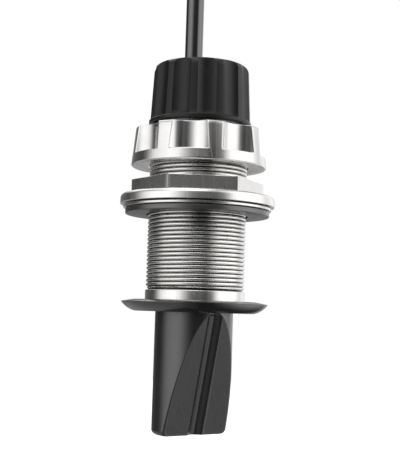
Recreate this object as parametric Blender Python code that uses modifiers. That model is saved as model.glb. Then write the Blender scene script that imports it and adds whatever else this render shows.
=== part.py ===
"""Thru-hull sonar transducer: threaded housing, hull nut, castle nut, insert, cap and cable.

Metres, +Z up. The origin is on the axis, in the plane where the flange seats against the hull.
Azimuths are in degrees from -Y towards +X, so 0 faces the front and 90 the right.
"""

import math

import bmesh
import bpy
from mathutils import Matrix, Vector

MM = 0.001

# Clearances
TOUCH_GAP = 0.3 * MM
SLIDE_GAP = 0.4 * MM
THREAD_GAP = 0.3 * MM

# Smoothness of turned pieces
TURN_STEPS = 48
SMALL_STEPS = 32
CAP_STEPS = 72
FLUTE_STEPS = 36
PIN_STEPS = 8
RING_POINTS = 6
ARC_STEPS = 3
CURVE_STEPS = 5

# Insert, the sealed body that slides up and down in the sleeve
INSERT_BORE_RADIUS = 15.0 * MM
INSERT_WALL = 5.1 * MM
INSERT_FLOOR = 5.0 * MM
INSERT_REACH = 62.4 * MM
INSERT_FILLET = 2.4 * MM
INSERT_RADIUS = INSERT_BORE_RADIUS + INSERT_WALL
SHOULDER_STEP = 3.9 * MM
SHOULDER_THICKNESS = 2.4 * MM
SHOULDER_RADIUS = INSERT_RADIUS + SHOULDER_STEP
NECK_STEP = 0.3 * MM
NECK_LENGTH = 27.2 * MM
NECK_RADIUS = INSERT_RADIUS - NECK_STEP
GASKET_THICKNESS = 1.5 * MM
O_RING_SECTION = 1.8 * MM
O_RING_GROOVE_WIDTH = 2.6 * MM
LOWER_O_RING_RISE = 6.0 * MM
UPPER_O_RING_DROP = 12.0 * MM

# Threaded sleeve that goes through the hull
SLEEVE_WALL = 4.9 * MM
SLEEVE_CHAMFER = 0.9 * MM
SLEEVE_BORE_RADIUS = INSERT_RADIUS + SLIDE_GAP
THREAD_RADIUS = SLEEVE_BORE_RADIUS + SLEEVE_WALL
THREAD_PITCH = 2.1167 * MM
THREAD_DEPTH = 0.6134 * THREAD_PITCH
RIDGE_TURNS = 2
SPIGOT_WALL = 3.5 * MM
SPIGOT_RADIUS = SLEEVE_BORE_RADIUS + SPIGOT_WALL
COLLAR_PROUD = 0.3 * MM
COLLAR_RADIUS = THREAD_RADIUS + COLLAR_PROUD
COLLAR_TOP = 5.0 * MM
COLLAR_EDGE = 0.5 * MM
RELIEF_HEIGHT = 0.7 * MM
KEY_WIDTH = 4.0 * MM
KEY_DEPTH = 2.2 * MM
KEY_ROOT = 1.0 * MM
KEY_INSET = 0.5 * MM
KEY_AZIMUTH = 180.0

# Hull flange, a shallow dish under the hull
FLANGE_THICKNESS = 5.7 * MM
FLANGE_LIP = 1.4 * MM
FLANGE_POCKET = 0.6 * MM
FLANGE_LAND_WIDTH = 5.5 * MM
FLANGE_RIM_WIDTH = 6.3 * MM
FLANGE_RIM_DROP = 1.1 * MM
FLANGE_RIM_EDGE = 0.35 * MM
FLANGE_TUCK = 7.0 * MM
FLANGE_BELLY_OUT = 4.3 * MM
FLANGE_BELLY_UP = 1.1 * MM
FLANGE_SOCKET_RADIUS = SPIGOT_RADIUS + TOUCH_GAP
FLANGE_POCKET_RADIUS = COLLAR_RADIUS + TOUCH_GAP
FLANGE_LAND_RADIUS = FLANGE_POCKET_RADIUS + FLANGE_LAND_WIDTH
FLANGE_RADIUS = FLANGE_LAND_RADIUS + FLANGE_RIM_WIDTH
FLANGE_BASE_RADIUS = FLANGE_RADIUS - FLANGE_TUCK
INSERT_BOTTOM = -FLANGE_THICKNESS - INSERT_REACH

# Washers on the inside of the hull
HULL_THICKNESS = 43.8 * MM
RUBBER_THICKNESS = 2.9 * MM
RUBBER_BORE_GAP = 1.0 * MM
RUBBER_WIDTH = 11.0 * MM
SLIP_THICKNESS = 1.3 * MM
SLIP_BORE_GAP = 0.6 * MM
SLIP_WIDTH = 12.5 * MM
WASHER_EDGE = 0.4 * MM
RUBBER_BORE_RADIUS = THREAD_RADIUS + RUBBER_BORE_GAP
SLIP_BORE_RADIUS = THREAD_RADIUS + SLIP_BORE_GAP
SLIP_BOTTOM = HULL_THICKNESS + RUBBER_THICKNESS + TOUCH_GAP

# Hull nut, a hexagon on a round flange
NUT_FLANGE_RADIUS = 40.1 * MM
NUT_FLANGE_HEIGHT = 5.8 * MM
NUT_FLANGE_ROUND = 3.0 * MM
NUT_UNDERCUT = 0.6 * MM
HEX_WALL = 4.44 * MM
HEX_HEIGHT = 6.8 * MM
HEX_CORNER_AZIMUTH = 34.5
HEX_EDGE = 0.5 * MM
NUT_BORE_RADIUS = THREAD_RADIUS + THREAD_GAP
HEX_CORNER_RADIUS = (NUT_BORE_RADIUS + HEX_WALL) / math.cos(math.radians(30.0))
NUT_BOTTOM = SLIP_BOTTOM + SLIP_THICKNESS + TOUCH_GAP
NUT_TOP = NUT_BOTTOM + NUT_FLANGE_HEIGHT + HEX_HEIGHT

# Castle nut over the top of the sleeve
FREE_THREAD = 7.6 * MM
CASTLE_GRIP = 12.7 * MM
CASTLE_WALL = 9.5 * MM
CASTLE_TAPER = 2.0 * MM
CASTLE_EDGE = 0.6 * MM
CASTLE_BAND = 4.2 * MM
CASTLE_LIP = 2.1 * MM
SCALLOP_COUNT = 8
SCALLOP_RADIUS = 13.5 * MM
SCALLOP_DEPTH = 5.6 * MM
SCALLOP_FILLET = 1.8 * MM
SCALLOP_AZIMUTH = 36.1
CASTLE_BASE_RADIUS = NUT_BORE_RADIUS + CASTLE_WALL
CASTLE_TOP_RADIUS = CASTLE_BASE_RADIUS - CASTLE_TAPER
CASTLE_BOTTOM = NUT_TOP + FREE_THREAD
SLEEVE_TOP = CASTLE_BOTTOM + CASTLE_GRIP
GASKET_BOTTOM = SLEEVE_TOP + TOUCH_GAP
SHOULDER_BOTTOM = GASKET_BOTTOM + GASKET_THICKNESS + TOUCH_GAP
SHOULDER_TOP = SHOULDER_BOTTOM + SHOULDER_THICKNESS
CASTLE_CEILING = SHOULDER_TOP + 2.0 * TOUCH_GAP
CASTLE_TOP = CASTLE_CEILING + CASTLE_LIP
NECK_TOP = SHOULDER_TOP + NECK_LENGTH

# Slanted facet of the insert and the groove down its middle
FACET_AZIMUTH = 33.6
FACET_BOTTOM_OFFSET = 4.1 * MM
FACET_WALL = 5.4 * MM
GROOVE_WIDTH = 8.7 * MM
GROOVE_DEPTH = 3.0 * MM

# Retaining collar on the neck
COLLAR_RING_WIDTH = 3.9 * MM
COLLAR_RING_HEIGHT = 4.4 * MM
COLLAR_RING_EDGE = 0.4 * MM
COLLAR_RING_BORE_RADIUS = NECK_RADIUS + TOUCH_GAP
COLLAR_RING_RADIUS = COLLAR_RING_BORE_RADIUS + COLLAR_RING_WIDTH
COLLAR_RING_BOTTOM = CASTLE_TOP + TOUCH_GAP
COLLAR_RING_TOP = COLLAR_RING_BOTTOM + COLLAR_RING_HEIGHT

# Cable and its gland
CABLE_RADIUS = 4.65 * MM
CABLE_OFFSET = -4.4 * MM
CABLE_TAIL = 12.0 * MM
CABLE_LENGTH = 62.0 * MM
GROMMET_WALL = 0.75 * MM
GROMMET_LAP = 2.0 * MM
GROMMET_FLANGE_THICKNESS = 1.7 * MM
GROMMET_PLUG_DEPTH = 8.0 * MM
GROMMET_STAND = 0.5 * MM
GROMMET_EDGE = 0.8 * MM
THRUST_THICKNESS = 1.5 * MM
PASSAGE_RADIUS = CABLE_RADIUS + TOUCH_GAP
GROMMET_NECK_RADIUS = abs(CABLE_OFFSET) + PASSAGE_RADIUS + GROMMET_WALL
GROMMET_FLANGE_RADIUS = INSERT_BORE_RADIUS + GROMMET_LAP
GROMMET_SEAT = NECK_TOP + TOUCH_GAP
THRUST_BOTTOM = GROMMET_SEAT + GROMMET_FLANGE_THICKNESS + TOUCH_GAP
CABLE_START = NECK_TOP - CABLE_TAIL
CABLE_END = CABLE_START + CABLE_LENGTH

# Fluted cap
CAP_WALL = 6.0 * MM
CAP_TAPER = 1.25 * MM
CAP_LAP = 2.3 * MM
CAP_ROUND = 3.6 * MM
CAP_RIM_PROUD = 0.5 * MM
CAP_RIM_HEIGHT = 2.2 * MM
CAP_RIM_EDGE = 0.5 * MM
CAP_TOP_PLATE = 5.3 * MM
FLUTE_COUNT = 12
FLUTE_AZIMUTH = 6.9
FLUTE_RADIUS = 9.0 * MM
FLUTE_DEPTH = 1.9 * MM
CAP_BORE_RADIUS = NECK_RADIUS + SLIDE_GAP
CAP_BASE_RADIUS = CAP_BORE_RADIUS + CAP_WALL
CAP_TOP_RADIUS = CAP_BASE_RADIUS - CAP_TAPER
CAP_RIM_RADIUS = CAP_BASE_RADIUS + CAP_RIM_PROUD
CAP_HOLE_RADIUS = GROMMET_NECK_RADIUS + SLIDE_GAP
CAP_BOTTOM = COLLAR_RING_TOP - CAP_LAP
CAP_CEILING = THRUST_BOTTOM + THRUST_THICKNESS + TOUCH_GAP
CAP_TOP = CAP_CEILING + CAP_TOP_PLATE

# Connector on the end of the cable
BOOT_RADIUS = 6.4 * MM
BOOT_LENGTH = 14.0 * MM
SHELL_RADIUS = 8.6 * MM
SHELL_LENGTH = 22.0 * MM
SHELL_SHOULDER = 1.4 * MM
SHELL_WALL = 1.5 * MM
SHELL_SOCKET_DEPTH = 11.0 * MM
CONNECTOR_EDGE = 0.8 * MM
RING_THICKNESS = 2.2 * MM
RING_LENGTH = 13.0 * MM
RING_GRIP_COUNT = 16
RING_GRIP_DEPTH = 0.6 * MM
RING_GRIP_RADIUS = 1.2 * MM
PIN_COUNT = 6
PIN_RADIUS = 0.6 * MM
PIN_LENGTH = 4.0 * MM
PIN_INSET = 2.9 * MM
PIN_DISC_THICKNESS = 3.0 * MM

# Pieces inside the insert
PIEZO_THICKNESS = 5.0 * MM
PIEZO_LENGTH = 34.0 * MM
PIEZO_CENTRE_GAP = 3.5 * MM
PIEZO_SIDE_ROOM = 2.0 * MM
PIEZO_FOOT_GAP = 3.0 * MM
BACKING_THICKNESS = 4.5 * MM
BACKING_SIDE_ROOM = 1.0 * MM
BACKING_EDGE = 0.6 * MM
BOARD_THICKNESS = 1.6 * MM
BOARD_OFFSET = 2.0 * MM
BOARD_DROP = 2.0 * MM
BOARD_LENGTH = 58.0 * MM
TRANSFORMER_SIZE = 12.0 * MM
TRANSFORMER_HEIGHT = 9.0 * MM
TRANSFORMER_RISE = 26.0 * MM
TRANSFORMER_EDGE = 1.0 * MM
SENSOR_RADIUS = 2.2 * MM
SENSOR_LENGTH = 9.0 * MM


def azimuth_direction(azimuth):
    """Unit vector that points to an azimuth in the XY plane."""
    angle = math.radians(azimuth)
    return Vector((math.sin(angle), -math.cos(angle), 0.0))


# Slant of the facet: it leaves the insert's round side at the flange and ends near the axis
FACET_TOP_Z = -FLANGE_THICKNESS
FACET_TAN = (INSERT_RADIUS - FACET_BOTTOM_OFFSET) / (FACET_TOP_Z - INSERT_BOTTOM)
FACET_ANGLE = math.atan(FACET_TAN)
FACET_NORMAL = azimuth_direction(FACET_AZIMUTH) * math.cos(FACET_ANGLE) + Vector(
    (0.0, 0.0, -math.sin(FACET_ANGLE))
)
FACET_DOWN = -azimuth_direction(FACET_AZIMUTH) * math.sin(FACET_ANGLE) + Vector(
    (0.0, 0.0, -math.cos(FACET_ANGLE))
)
FACET_APEX = azimuth_direction(FACET_AZIMUTH) * INSERT_RADIUS + Vector((0.0, 0.0, FACET_TOP_Z))

for old in list(bpy.data.objects):
    bpy.data.objects.remove(old, do_unlink=True)


def new_collection(name):
    collection = bpy.data.collections.new(name)
    bpy.context.scene.collection.children.link(collection)
    return collection


PARTS = new_collection("thru_hull_sonar_transducer")
CUTTERS = new_collection("cutters")


def material(name, color, roughness, metallic=0.0):
    found = bpy.data.materials.new(name)
    found.use_nodes = True
    shader = found.node_tree.nodes["Principled BSDF"]
    shader.inputs["Base Color"].default_value = (*color, 1.0)
    shader.inputs["Roughness"].default_value = roughness
    shader.inputs["Metallic"].default_value = metallic
    found.diffuse_color = (*color, 1.0)
    return found


STEEL = material("stainless_steel", (0.60, 0.59, 0.57), 0.28, 1.0)
BLACK_PLASTIC = material("black_moulded_plastic", (0.022, 0.022, 0.023), 0.42)
FLANGE_PLASTIC = material("flange_plastic", (0.030, 0.030, 0.031), 0.35)
GREY_RUBBER = material("grey_rubber", (0.12, 0.12, 0.12), 0.7)
BLACK_RUBBER = material("black_rubber", (0.015, 0.015, 0.015), 0.6)
CABLE_JACKET = material("cable_jacket", (0.012, 0.012, 0.012), 0.25)
CERAMIC = material("piezo_ceramic", (0.55, 0.47, 0.33), 0.6)
ABSORBER = material("backing_absorber", (0.10, 0.07, 0.05), 0.9)
BOARD = material("circuit_board_green", (0.02, 0.14, 0.05), 0.45)
FERRITE = material("ferrite", (0.05, 0.05, 0.055), 0.6)
BRASS = material("brass", (0.68, 0.48, 0.20), 0.3, 1.0)
POTTING = material("potting_compound", (0.03, 0.03, 0.028), 0.5)


def place(obj, collection, finish=None):
    collection.objects.link(obj)
    if finish is not None:
        obj.data.materials.append(finish)
    if collection is CUTTERS:
        obj.hide_render = True
        obj.display_type = "WIRE"
    return obj


def arc(centre, radius, start, end, steps=ARC_STEPS):
    """Points of a profile's round corner, from start to end in degrees from +X towards +Z."""
    points = []
    for step in range(steps + 1):
        angle = math.radians(start + (end - start) * step / steps)
        points.append((centre[0] + radius * math.cos(angle), centre[1] + radius * math.sin(angle)))
    return points


def curve_points(start, pull, end):
    """Points of a profile's smooth bend from start to end, drawn towards the pull point."""
    points = []
    for step in range(CURVE_STEPS + 1):
        share = step / CURVE_STEPS
        weights = ((1.0 - share) ** 2, 2.0 * share * (1.0 - share), share**2)
        corners = zip(weights, (start, pull, end))
        spot = sum((weight * Vector(corner) for weight, corner in corners), Vector((0.0, 0.0)))
        points.append((spot.x, spot.y))
    return points


def turned(name, profile, collection, finish=None, steps=TURN_STEPS, closed=True):
    """Turned solid. The profile runs down its outer side and is closed, or ends on the axis."""
    mesh = bpy.data.meshes.new(name)
    count = len(profile)
    edges = [(index, index + 1) for index in range(count - 1)]
    if closed:
        edges.append((count - 1, 0))
    mesh.from_pydata([(radius, 0.0, height) for radius, height in profile], edges, [])
    obj = place(bpy.data.objects.new(name, mesh), collection, finish)
    screw = obj.modifiers.new("turn", "SCREW")
    screw.axis = "Z"
    screw.angle = 2.0 * math.pi
    screw.steps = steps
    screw.render_steps = steps
    screw.use_merge_vertices = True
    screw.merge_threshold = 0.00001
    screw.use_normal_calculate = False
    return obj


def edged_ring(bore, radius, bottom, top, edge):
    """Profile of a flat ring whose two outer edges are chamfered."""
    return [
        (radius - edge, top),
        (radius, top - edge),
        (radius, bottom + edge),
        (radius - edge, bottom),
        (bore, bottom),
        (bore, top),
    ]


def solid_from_bmesh(name, model, collection, finish=None):
    mesh = bpy.data.meshes.new(name)
    bmesh.ops.recalc_face_normals(model, faces=model.faces)
    model.to_mesh(mesh)
    model.free()
    return place(bpy.data.objects.new(name, mesh), collection, finish)


def cylinder(name, radius, low, high, collection, finish=None, steps=TURN_STEPS, centre=(0.0, 0.0)):
    model = bmesh.new()
    bmesh.ops.create_cone(
        model, cap_ends=True, segments=steps, radius1=radius, radius2=radius, depth=high - low
    )
    bmesh.ops.translate(model, verts=model.verts, vec=(centre[0], centre[1], (low + high) / 2.0))
    return solid_from_bmesh(name, model, collection, finish)


def box(name, size, matrix, collection, finish=None):
    """Box of a size (x, y, z), centred on the matrix's origin."""
    model = bmesh.new()
    bmesh.ops.create_cube(model, size=1.0)
    bmesh.ops.scale(model, verts=model.verts, vec=size)
    bmesh.ops.transform(model, verts=model.verts, matrix=matrix)
    return solid_from_bmesh(name, model, collection, finish)


def boolean(obj, other, operation):
    modifier = obj.modifiers.new(operation.lower() + "_" + other.name, "BOOLEAN")
    modifier.operation = operation
    modifier.solver = "EXACT"
    modifier.object = other
    return modifier


def bevel(obj, width, segments=2, angle=30.0):
    modifier = obj.modifiers.new("edges", "BEVEL")
    modifier.width = width
    modifier.segments = segments
    modifier.limit_method = "ANGLE"
    modifier.angle_limit = math.radians(angle)
    return modifier


def facet_frame(down, out, across=0.0):
    """Matrix on the facet: X across it, Y out of it and Z up its slope, from the apex."""
    up = -FACET_DOWN
    side = FACET_NORMAL.cross(up)
    rotation = Matrix((side, FACET_NORMAL, up)).transposed().to_4x4()
    spot = FACET_APEX + FACET_DOWN * down + FACET_NORMAL * out + side * across
    return Matrix.Translation(spot) @ rotation


def make_hull_flange():
    rim_top = -FLANGE_RIM_DROP
    rim_bottom = rim_top - FLANGE_RIM_EDGE
    belly = (FLANGE_BASE_RADIUS + FLANGE_BELLY_OUT, -FLANGE_THICKNESS + FLANGE_BELLY_UP)
    tip = (FLANGE_RADIUS, rim_bottom)
    base = (FLANGE_BASE_RADIUS, -FLANGE_THICKNESS)
    profile = [
        (FLANGE_SOCKET_RADIUS, -FLANGE_POCKET),
        (FLANGE_POCKET_RADIUS, -FLANGE_POCKET),
        (FLANGE_POCKET_RADIUS, 0.0),
        (FLANGE_LAND_RADIUS, 0.0),
        (FLANGE_RADIUS, rim_top),
    ]
    profile += curve_points(tip, belly, base)
    lip_top = FLANGE_LIP - FLANGE_THICKNESS
    profile += [
        (SLEEVE_BORE_RADIUS, -FLANGE_THICKNESS),
        (SLEEVE_BORE_RADIUS, lip_top),
        (FLANGE_SOCKET_RADIUS, lip_top),
    ]
    turned("hull_flange", profile, PARTS, FLANGE_PLASTIC)


def thread_ridges(low, high):
    """Ridges that stand for the thread, every other turn, top to bottom."""
    count = round((high - low) / (RIDGE_TURNS * THREAD_PITCH))
    spacing = (high - low) / count
    points = []
    for index in range(count):
        crest = high - index * spacing
        points.append((THREAD_RADIUS, crest))
        points.append((THREAD_RADIUS - THREAD_DEPTH, crest - spacing / 2.0))
    points.append((THREAD_RADIUS, low))
    return points


def make_threaded_sleeve():
    spigot_bottom = FLANGE_LIP + TOUCH_GAP - FLANGE_THICKNESS
    collar_bottom = TOUCH_GAP - FLANGE_POCKET
    relief_top = COLLAR_TOP + RELIEF_HEIGHT
    profile = [(THREAD_RADIUS - SLEEVE_CHAMFER, SLEEVE_TOP)]
    profile += thread_ridges(relief_top + THREAD_DEPTH, SLEEVE_TOP - SLEEVE_CHAMFER)
    profile += [
        (THREAD_RADIUS - THREAD_DEPTH, relief_top),
        (THREAD_RADIUS - THREAD_DEPTH, COLLAR_TOP),
        (COLLAR_RADIUS - COLLAR_EDGE, COLLAR_TOP),
        (COLLAR_RADIUS, COLLAR_TOP - COLLAR_EDGE),
        (COLLAR_RADIUS, collar_bottom),
        (SPIGOT_RADIUS, collar_bottom),
        (SPIGOT_RADIUS, spigot_bottom),
        (SLEEVE_BORE_RADIUS, spigot_bottom),
        (SLEEVE_BORE_RADIUS, SLEEVE_TOP - SLEEVE_CHAMFER),
        (SLEEVE_BORE_RADIUS + SLEEVE_CHAMFER, SLEEVE_TOP),
    ]
    sleeve = turned("threaded_sleeve", profile, PARTS, STEEL, steps=SMALL_STEPS)
    boolean(sleeve, key_block("keyway_cutter", SLIDE_GAP, CUTTERS), "DIFFERENCE")


def key_block(name, gap, collection):
    """Block of the insert's locating key, or with a gap the cutter of its keyway."""
    inner = INSERT_RADIUS - KEY_ROOT
    outer = SHOULDER_RADIUS - KEY_INSET if gap == 0.0 else COLLAR_RADIUS + KEY_WIDTH
    bottom = SLEEVE_TOP - KEY_DEPTH - gap
    top = SHOULDER_BOTTOM + KEY_INSET
    spot = azimuth_direction(KEY_AZIMUTH) * (inner + outer) / 2.0
    spot.z = (bottom + top) / 2.0
    turn = Matrix.Rotation(math.radians(KEY_AZIMUTH), 4, "Z")
    size = (KEY_WIDTH + 2.0 * gap, outer - inner, top - bottom)
    return box(name, size, Matrix.Translation(spot) @ turn, collection)


def make_washers():
    rubber_top = HULL_THICKNESS + RUBBER_THICKNESS
    rubber_radius = RUBBER_BORE_RADIUS + RUBBER_WIDTH
    ring = edged_ring(RUBBER_BORE_RADIUS, rubber_radius, HULL_THICKNESS, rubber_top, WASHER_EDGE)
    turned("rubber_washer", ring, PARTS, GREY_RUBBER, steps=SMALL_STEPS)
    slip_radius = SLIP_BORE_RADIUS + SLIP_WIDTH
    ring = edged_ring(
        SLIP_BORE_RADIUS, slip_radius, SLIP_BOTTOM, SLIP_BOTTOM + SLIP_THICKNESS, WASHER_EDGE
    )
    turned("slip_washer", ring, PARTS, STEEL, steps=SMALL_STEPS)


def make_hull_nut():
    flange_top = NUT_BOTTOM + NUT_FLANGE_HEIGHT
    round_centre = (NUT_FLANGE_RADIUS - NUT_FLANGE_ROUND, flange_top - NUT_FLANGE_ROUND)
    profile = [(0.0, flange_top)]
    profile += arc(round_centre, NUT_FLANGE_ROUND, 90.0, 0.0)
    profile += [
        (NUT_FLANGE_RADIUS, NUT_BOTTOM + NUT_UNDERCUT),
        (NUT_FLANGE_RADIUS - NUT_UNDERCUT, NUT_BOTTOM),
        (0.0, NUT_BOTTOM),
    ]
    nut = turned("hull_nut", profile, PARTS, STEEL, closed=False)
    model = bmesh.new()
    low = flange_top - NUT_FLANGE_HEIGHT / 2.0
    bmesh.ops.create_cone(
        model,
        cap_ends=True,
        segments=6,
        radius1=HEX_CORNER_RADIUS,
        radius2=HEX_CORNER_RADIUS,
        depth=NUT_TOP - low,
    )
    corner = azimuth_direction(HEX_CORNER_AZIMUTH)
    angle = math.atan2(-corner.x, corner.y)
    bmesh.ops.rotate(model, verts=model.verts, matrix=Matrix.Rotation(angle, 3, "Z"))
    bmesh.ops.translate(model, verts=model.verts, vec=(0.0, 0.0, (low + NUT_TOP) / 2.0))
    prism = solid_from_bmesh("hexagon", model, CUTTERS)
    bevel(prism, HEX_EDGE)
    boolean(nut, prism, "UNION")
    bore_bottom = NUT_BOTTOM - HEX_HEIGHT
    bore = cylinder("hull_nut_bore", NUT_BORE_RADIUS, bore_bottom, NUT_TOP + HEX_HEIGHT, CUTTERS)
    boolean(nut, bore, "DIFFERENCE")


def make_castle_nut():
    band_top = CASTLE_BOTTOM + CASTLE_BAND
    profile = [
        (CASTLE_TOP_RADIUS - CASTLE_EDGE, CASTLE_TOP),
        (CASTLE_TOP_RADIUS, CASTLE_TOP - CASTLE_EDGE),
        (CASTLE_BASE_RADIUS, CASTLE_BOTTOM + CASTLE_EDGE),
        (CASTLE_BASE_RADIUS - CASTLE_EDGE, CASTLE_BOTTOM),
        (NUT_BORE_RADIUS, CASTLE_BOTTOM),
        (NUT_BORE_RADIUS, CASTLE_CEILING),
        (NECK_RADIUS + SLIDE_GAP, CASTLE_CEILING),
        (NECK_RADIUS + SLIDE_GAP, CASTLE_TOP),
    ]
    nut = turned("castle_nut", profile, PARTS, STEEL)
    middle_radius = (CASTLE_BASE_RADIUS + CASTLE_TOP_RADIUS) / 2.0
    reach = middle_radius - SCALLOP_DEPTH + SCALLOP_RADIUS
    for index in range(SCALLOP_COUNT):
        fillet_centre = (SCALLOP_RADIUS - SCALLOP_FILLET, band_top + SCALLOP_FILLET)
        outline = [(0.0, CASTLE_TOP + SCALLOP_FILLET), (SCALLOP_RADIUS, CASTLE_TOP + SCALLOP_FILLET)]
        outline += arc(fillet_centre, SCALLOP_FILLET, 0.0, -90.0)
        outline.append((0.0, band_top))
        cutter = turned(f"scallop_{index}", outline, CUTTERS, steps=SMALL_STEPS, closed=False)
        azimuth = SCALLOP_AZIMUTH + index * 360.0 / SCALLOP_COUNT
        cutter.location = azimuth_direction(azimuth) * reach
        boolean(nut, cutter, "DIFFERENCE")


def o_ring_groove(height):
    """Groove in the insert's round side, top to bottom."""
    floor = INSERT_RADIUS + SLIDE_GAP - 2.0 * TOUCH_GAP - O_RING_SECTION
    half = O_RING_GROOVE_WIDTH / 2.0
    return [
        (INSERT_RADIUS, height + half),
        (floor, height + half),
        (floor, height - half),
        (INSERT_RADIUS, height - half),
    ]


def make_insert_body():
    corner = (INSERT_RADIUS - INSERT_FILLET, INSERT_BOTTOM + INSERT_FILLET)
    profile = [
        (0.0, NECK_TOP),
        (NECK_RADIUS, NECK_TOP),
        (NECK_RADIUS, SHOULDER_TOP),
        (SHOULDER_RADIUS, SHOULDER_TOP),
        (SHOULDER_RADIUS, SHOULDER_BOTTOM),
        (INSERT_RADIUS, SHOULDER_BOTTOM),
    ]
    profile += o_ring_groove(SLEEVE_TOP - UPPER_O_RING_DROP) + o_ring_groove(LOWER_O_RING_RISE)
    profile += arc(corner, INSERT_FILLET, 0.0, -90.0)
    profile.append((0.0, INSERT_BOTTOM))
    body = turned("insert_body", profile, PARTS, BLACK_PLASTIC, closed=False)
    boolean(body, key_block("locating_key", 0.0, CUTTERS), "UNION")

    slant_length = (FACET_TOP_Z - INSERT_BOTTOM) / math.cos(FACET_ANGLE)
    block = 3.0 * INSERT_RADIUS
    half = slant_length / 2.0
    size = (block, block, 2.0 * slant_length)
    facet = box("facet_cutter", size, facet_frame(half, block / 2.0), CUTTERS)
    boolean(body, facet, "DIFFERENCE")

    tool_radius = GROOVE_WIDTH**2 / (8.0 * GROOVE_DEPTH) + GROOVE_DEPTH / 2.0
    length = slant_length + 2.0 * tool_radius
    outline = arc((0.0, -tool_radius), tool_radius, 90.0, 0.0, steps=CURVE_STEPS)
    outline += [(tool_radius, -length), (0.0, -length)]
    groove = turned("groove_cutter", outline, CUTTERS, steps=SMALL_STEPS, closed=False)
    groove.matrix_world = facet_frame(0.0, tool_radius - GROOVE_DEPTH)
    boolean(body, groove, "DIFFERENCE")

    floor = INSERT_BOTTOM + INSERT_FLOOR
    bore = cylinder(
        "insert_bore", INSERT_BORE_RADIUS, floor, NECK_TOP + INSERT_FLOOR, CUTTERS, steps=SMALL_STEPS
    )
    wall = box(
        "facet_wall", (block, block, 2.0 * block), facet_frame(half, block / 2.0 - FACET_WALL), CUTTERS
    )
    boolean(bore, wall, "DIFFERENCE")
    boolean(body, bore, "DIFFERENCE")


def make_seals():
    middle = INSERT_RADIUS + SLIDE_GAP - TOUCH_GAP - O_RING_SECTION / 2.0
    upper = SLEEVE_TOP - UPPER_O_RING_DROP
    for name, height in (("lower_o_ring", LOWER_O_RING_RISE), ("upper_o_ring", upper)):
        last = 90.0 - 360.0 * (RING_POINTS - 1) / RING_POINTS
        ring = arc((middle, height), O_RING_SECTION / 2.0, 90.0, last, steps=RING_POINTS - 1)
        turned(name, ring, PARTS, BLACK_RUBBER, steps=SMALL_STEPS)
    top = GASKET_BOTTOM + GASKET_THICKNESS
    profile = [
        (SHOULDER_RADIUS, top),
        (SHOULDER_RADIUS, GASKET_BOTTOM),
        (INSERT_RADIUS + TOUCH_GAP, GASKET_BOTTOM),
        (INSERT_RADIUS + TOUCH_GAP, top),
    ]
    gasket = turned("shoulder_gasket", profile, PARTS, BLACK_RUBBER, steps=SMALL_STEPS)
    boolean(gasket, key_block("gasket_notch", SLIDE_GAP, CUTTERS), "DIFFERENCE")


def make_retaining_collar():
    ring = edged_ring(
        COLLAR_RING_BORE_RADIUS,
        COLLAR_RING_RADIUS,
        COLLAR_RING_BOTTOM,
        COLLAR_RING_TOP,
        COLLAR_RING_EDGE,
    )
    turned("retaining_collar", ring, PARTS, BLACK_PLASTIC, steps=SMALL_STEPS)


def make_fluted_cap():
    rim_top = CAP_BOTTOM + CAP_RIM_HEIGHT
    recess_top = COLLAR_RING_TOP + TOUCH_GAP
    recess = COLLAR_RING_RADIUS + SLIDE_GAP
    profile = [(CAP_HOLE_RADIUS, CAP_TOP)]
    profile += arc((CAP_TOP_RADIUS - CAP_ROUND, CAP_TOP - CAP_ROUND), CAP_ROUND, 90.0, 0.0)
    profile += [
        (CAP_BASE_RADIUS, rim_top),
        (CAP_RIM_RADIUS, rim_top - CAP_RIM_EDGE),
        (CAP_RIM_RADIUS, CAP_BOTTOM),
        (recess, CAP_BOTTOM),
        (recess, recess_top),
        (CAP_BORE_RADIUS, recess_top),
        (CAP_BORE_RADIUS, CAP_CEILING),
        (CAP_HOLE_RADIUS, CAP_CEILING),
    ]
    cap = turned("fluted_cap", profile, PARTS, BLACK_PLASTIC, steps=CAP_STEPS)
    draft = math.atan2(CAP_TAPER, CAP_TOP - CAP_ROUND - rim_top)
    flute_length = CAP_TOP - rim_top + CAP_ROUND
    for index in range(FLUTE_COUNT):
        azimuth = FLUTE_AZIMUTH + index * 360.0 / FLUTE_COUNT
        cutter = cylinder(
            f"flute_{index}", FLUTE_RADIUS, 0.0, flute_length, CUTTERS, steps=FLUTE_STEPS
        )
        reach = CAP_BASE_RADIUS - FLUTE_DEPTH + FLUTE_RADIUS
        turn = Matrix.Rotation(math.radians(azimuth), 4, "Z")
        lean = Matrix.Rotation(-draft, 4, "X")
        spot = azimuth_direction(azimuth) * reach
        spot.z = rim_top
        cutter.matrix_world = Matrix.Translation(spot) @ turn @ lean
        boolean(cap, cutter, "DIFFERENCE")


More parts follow.
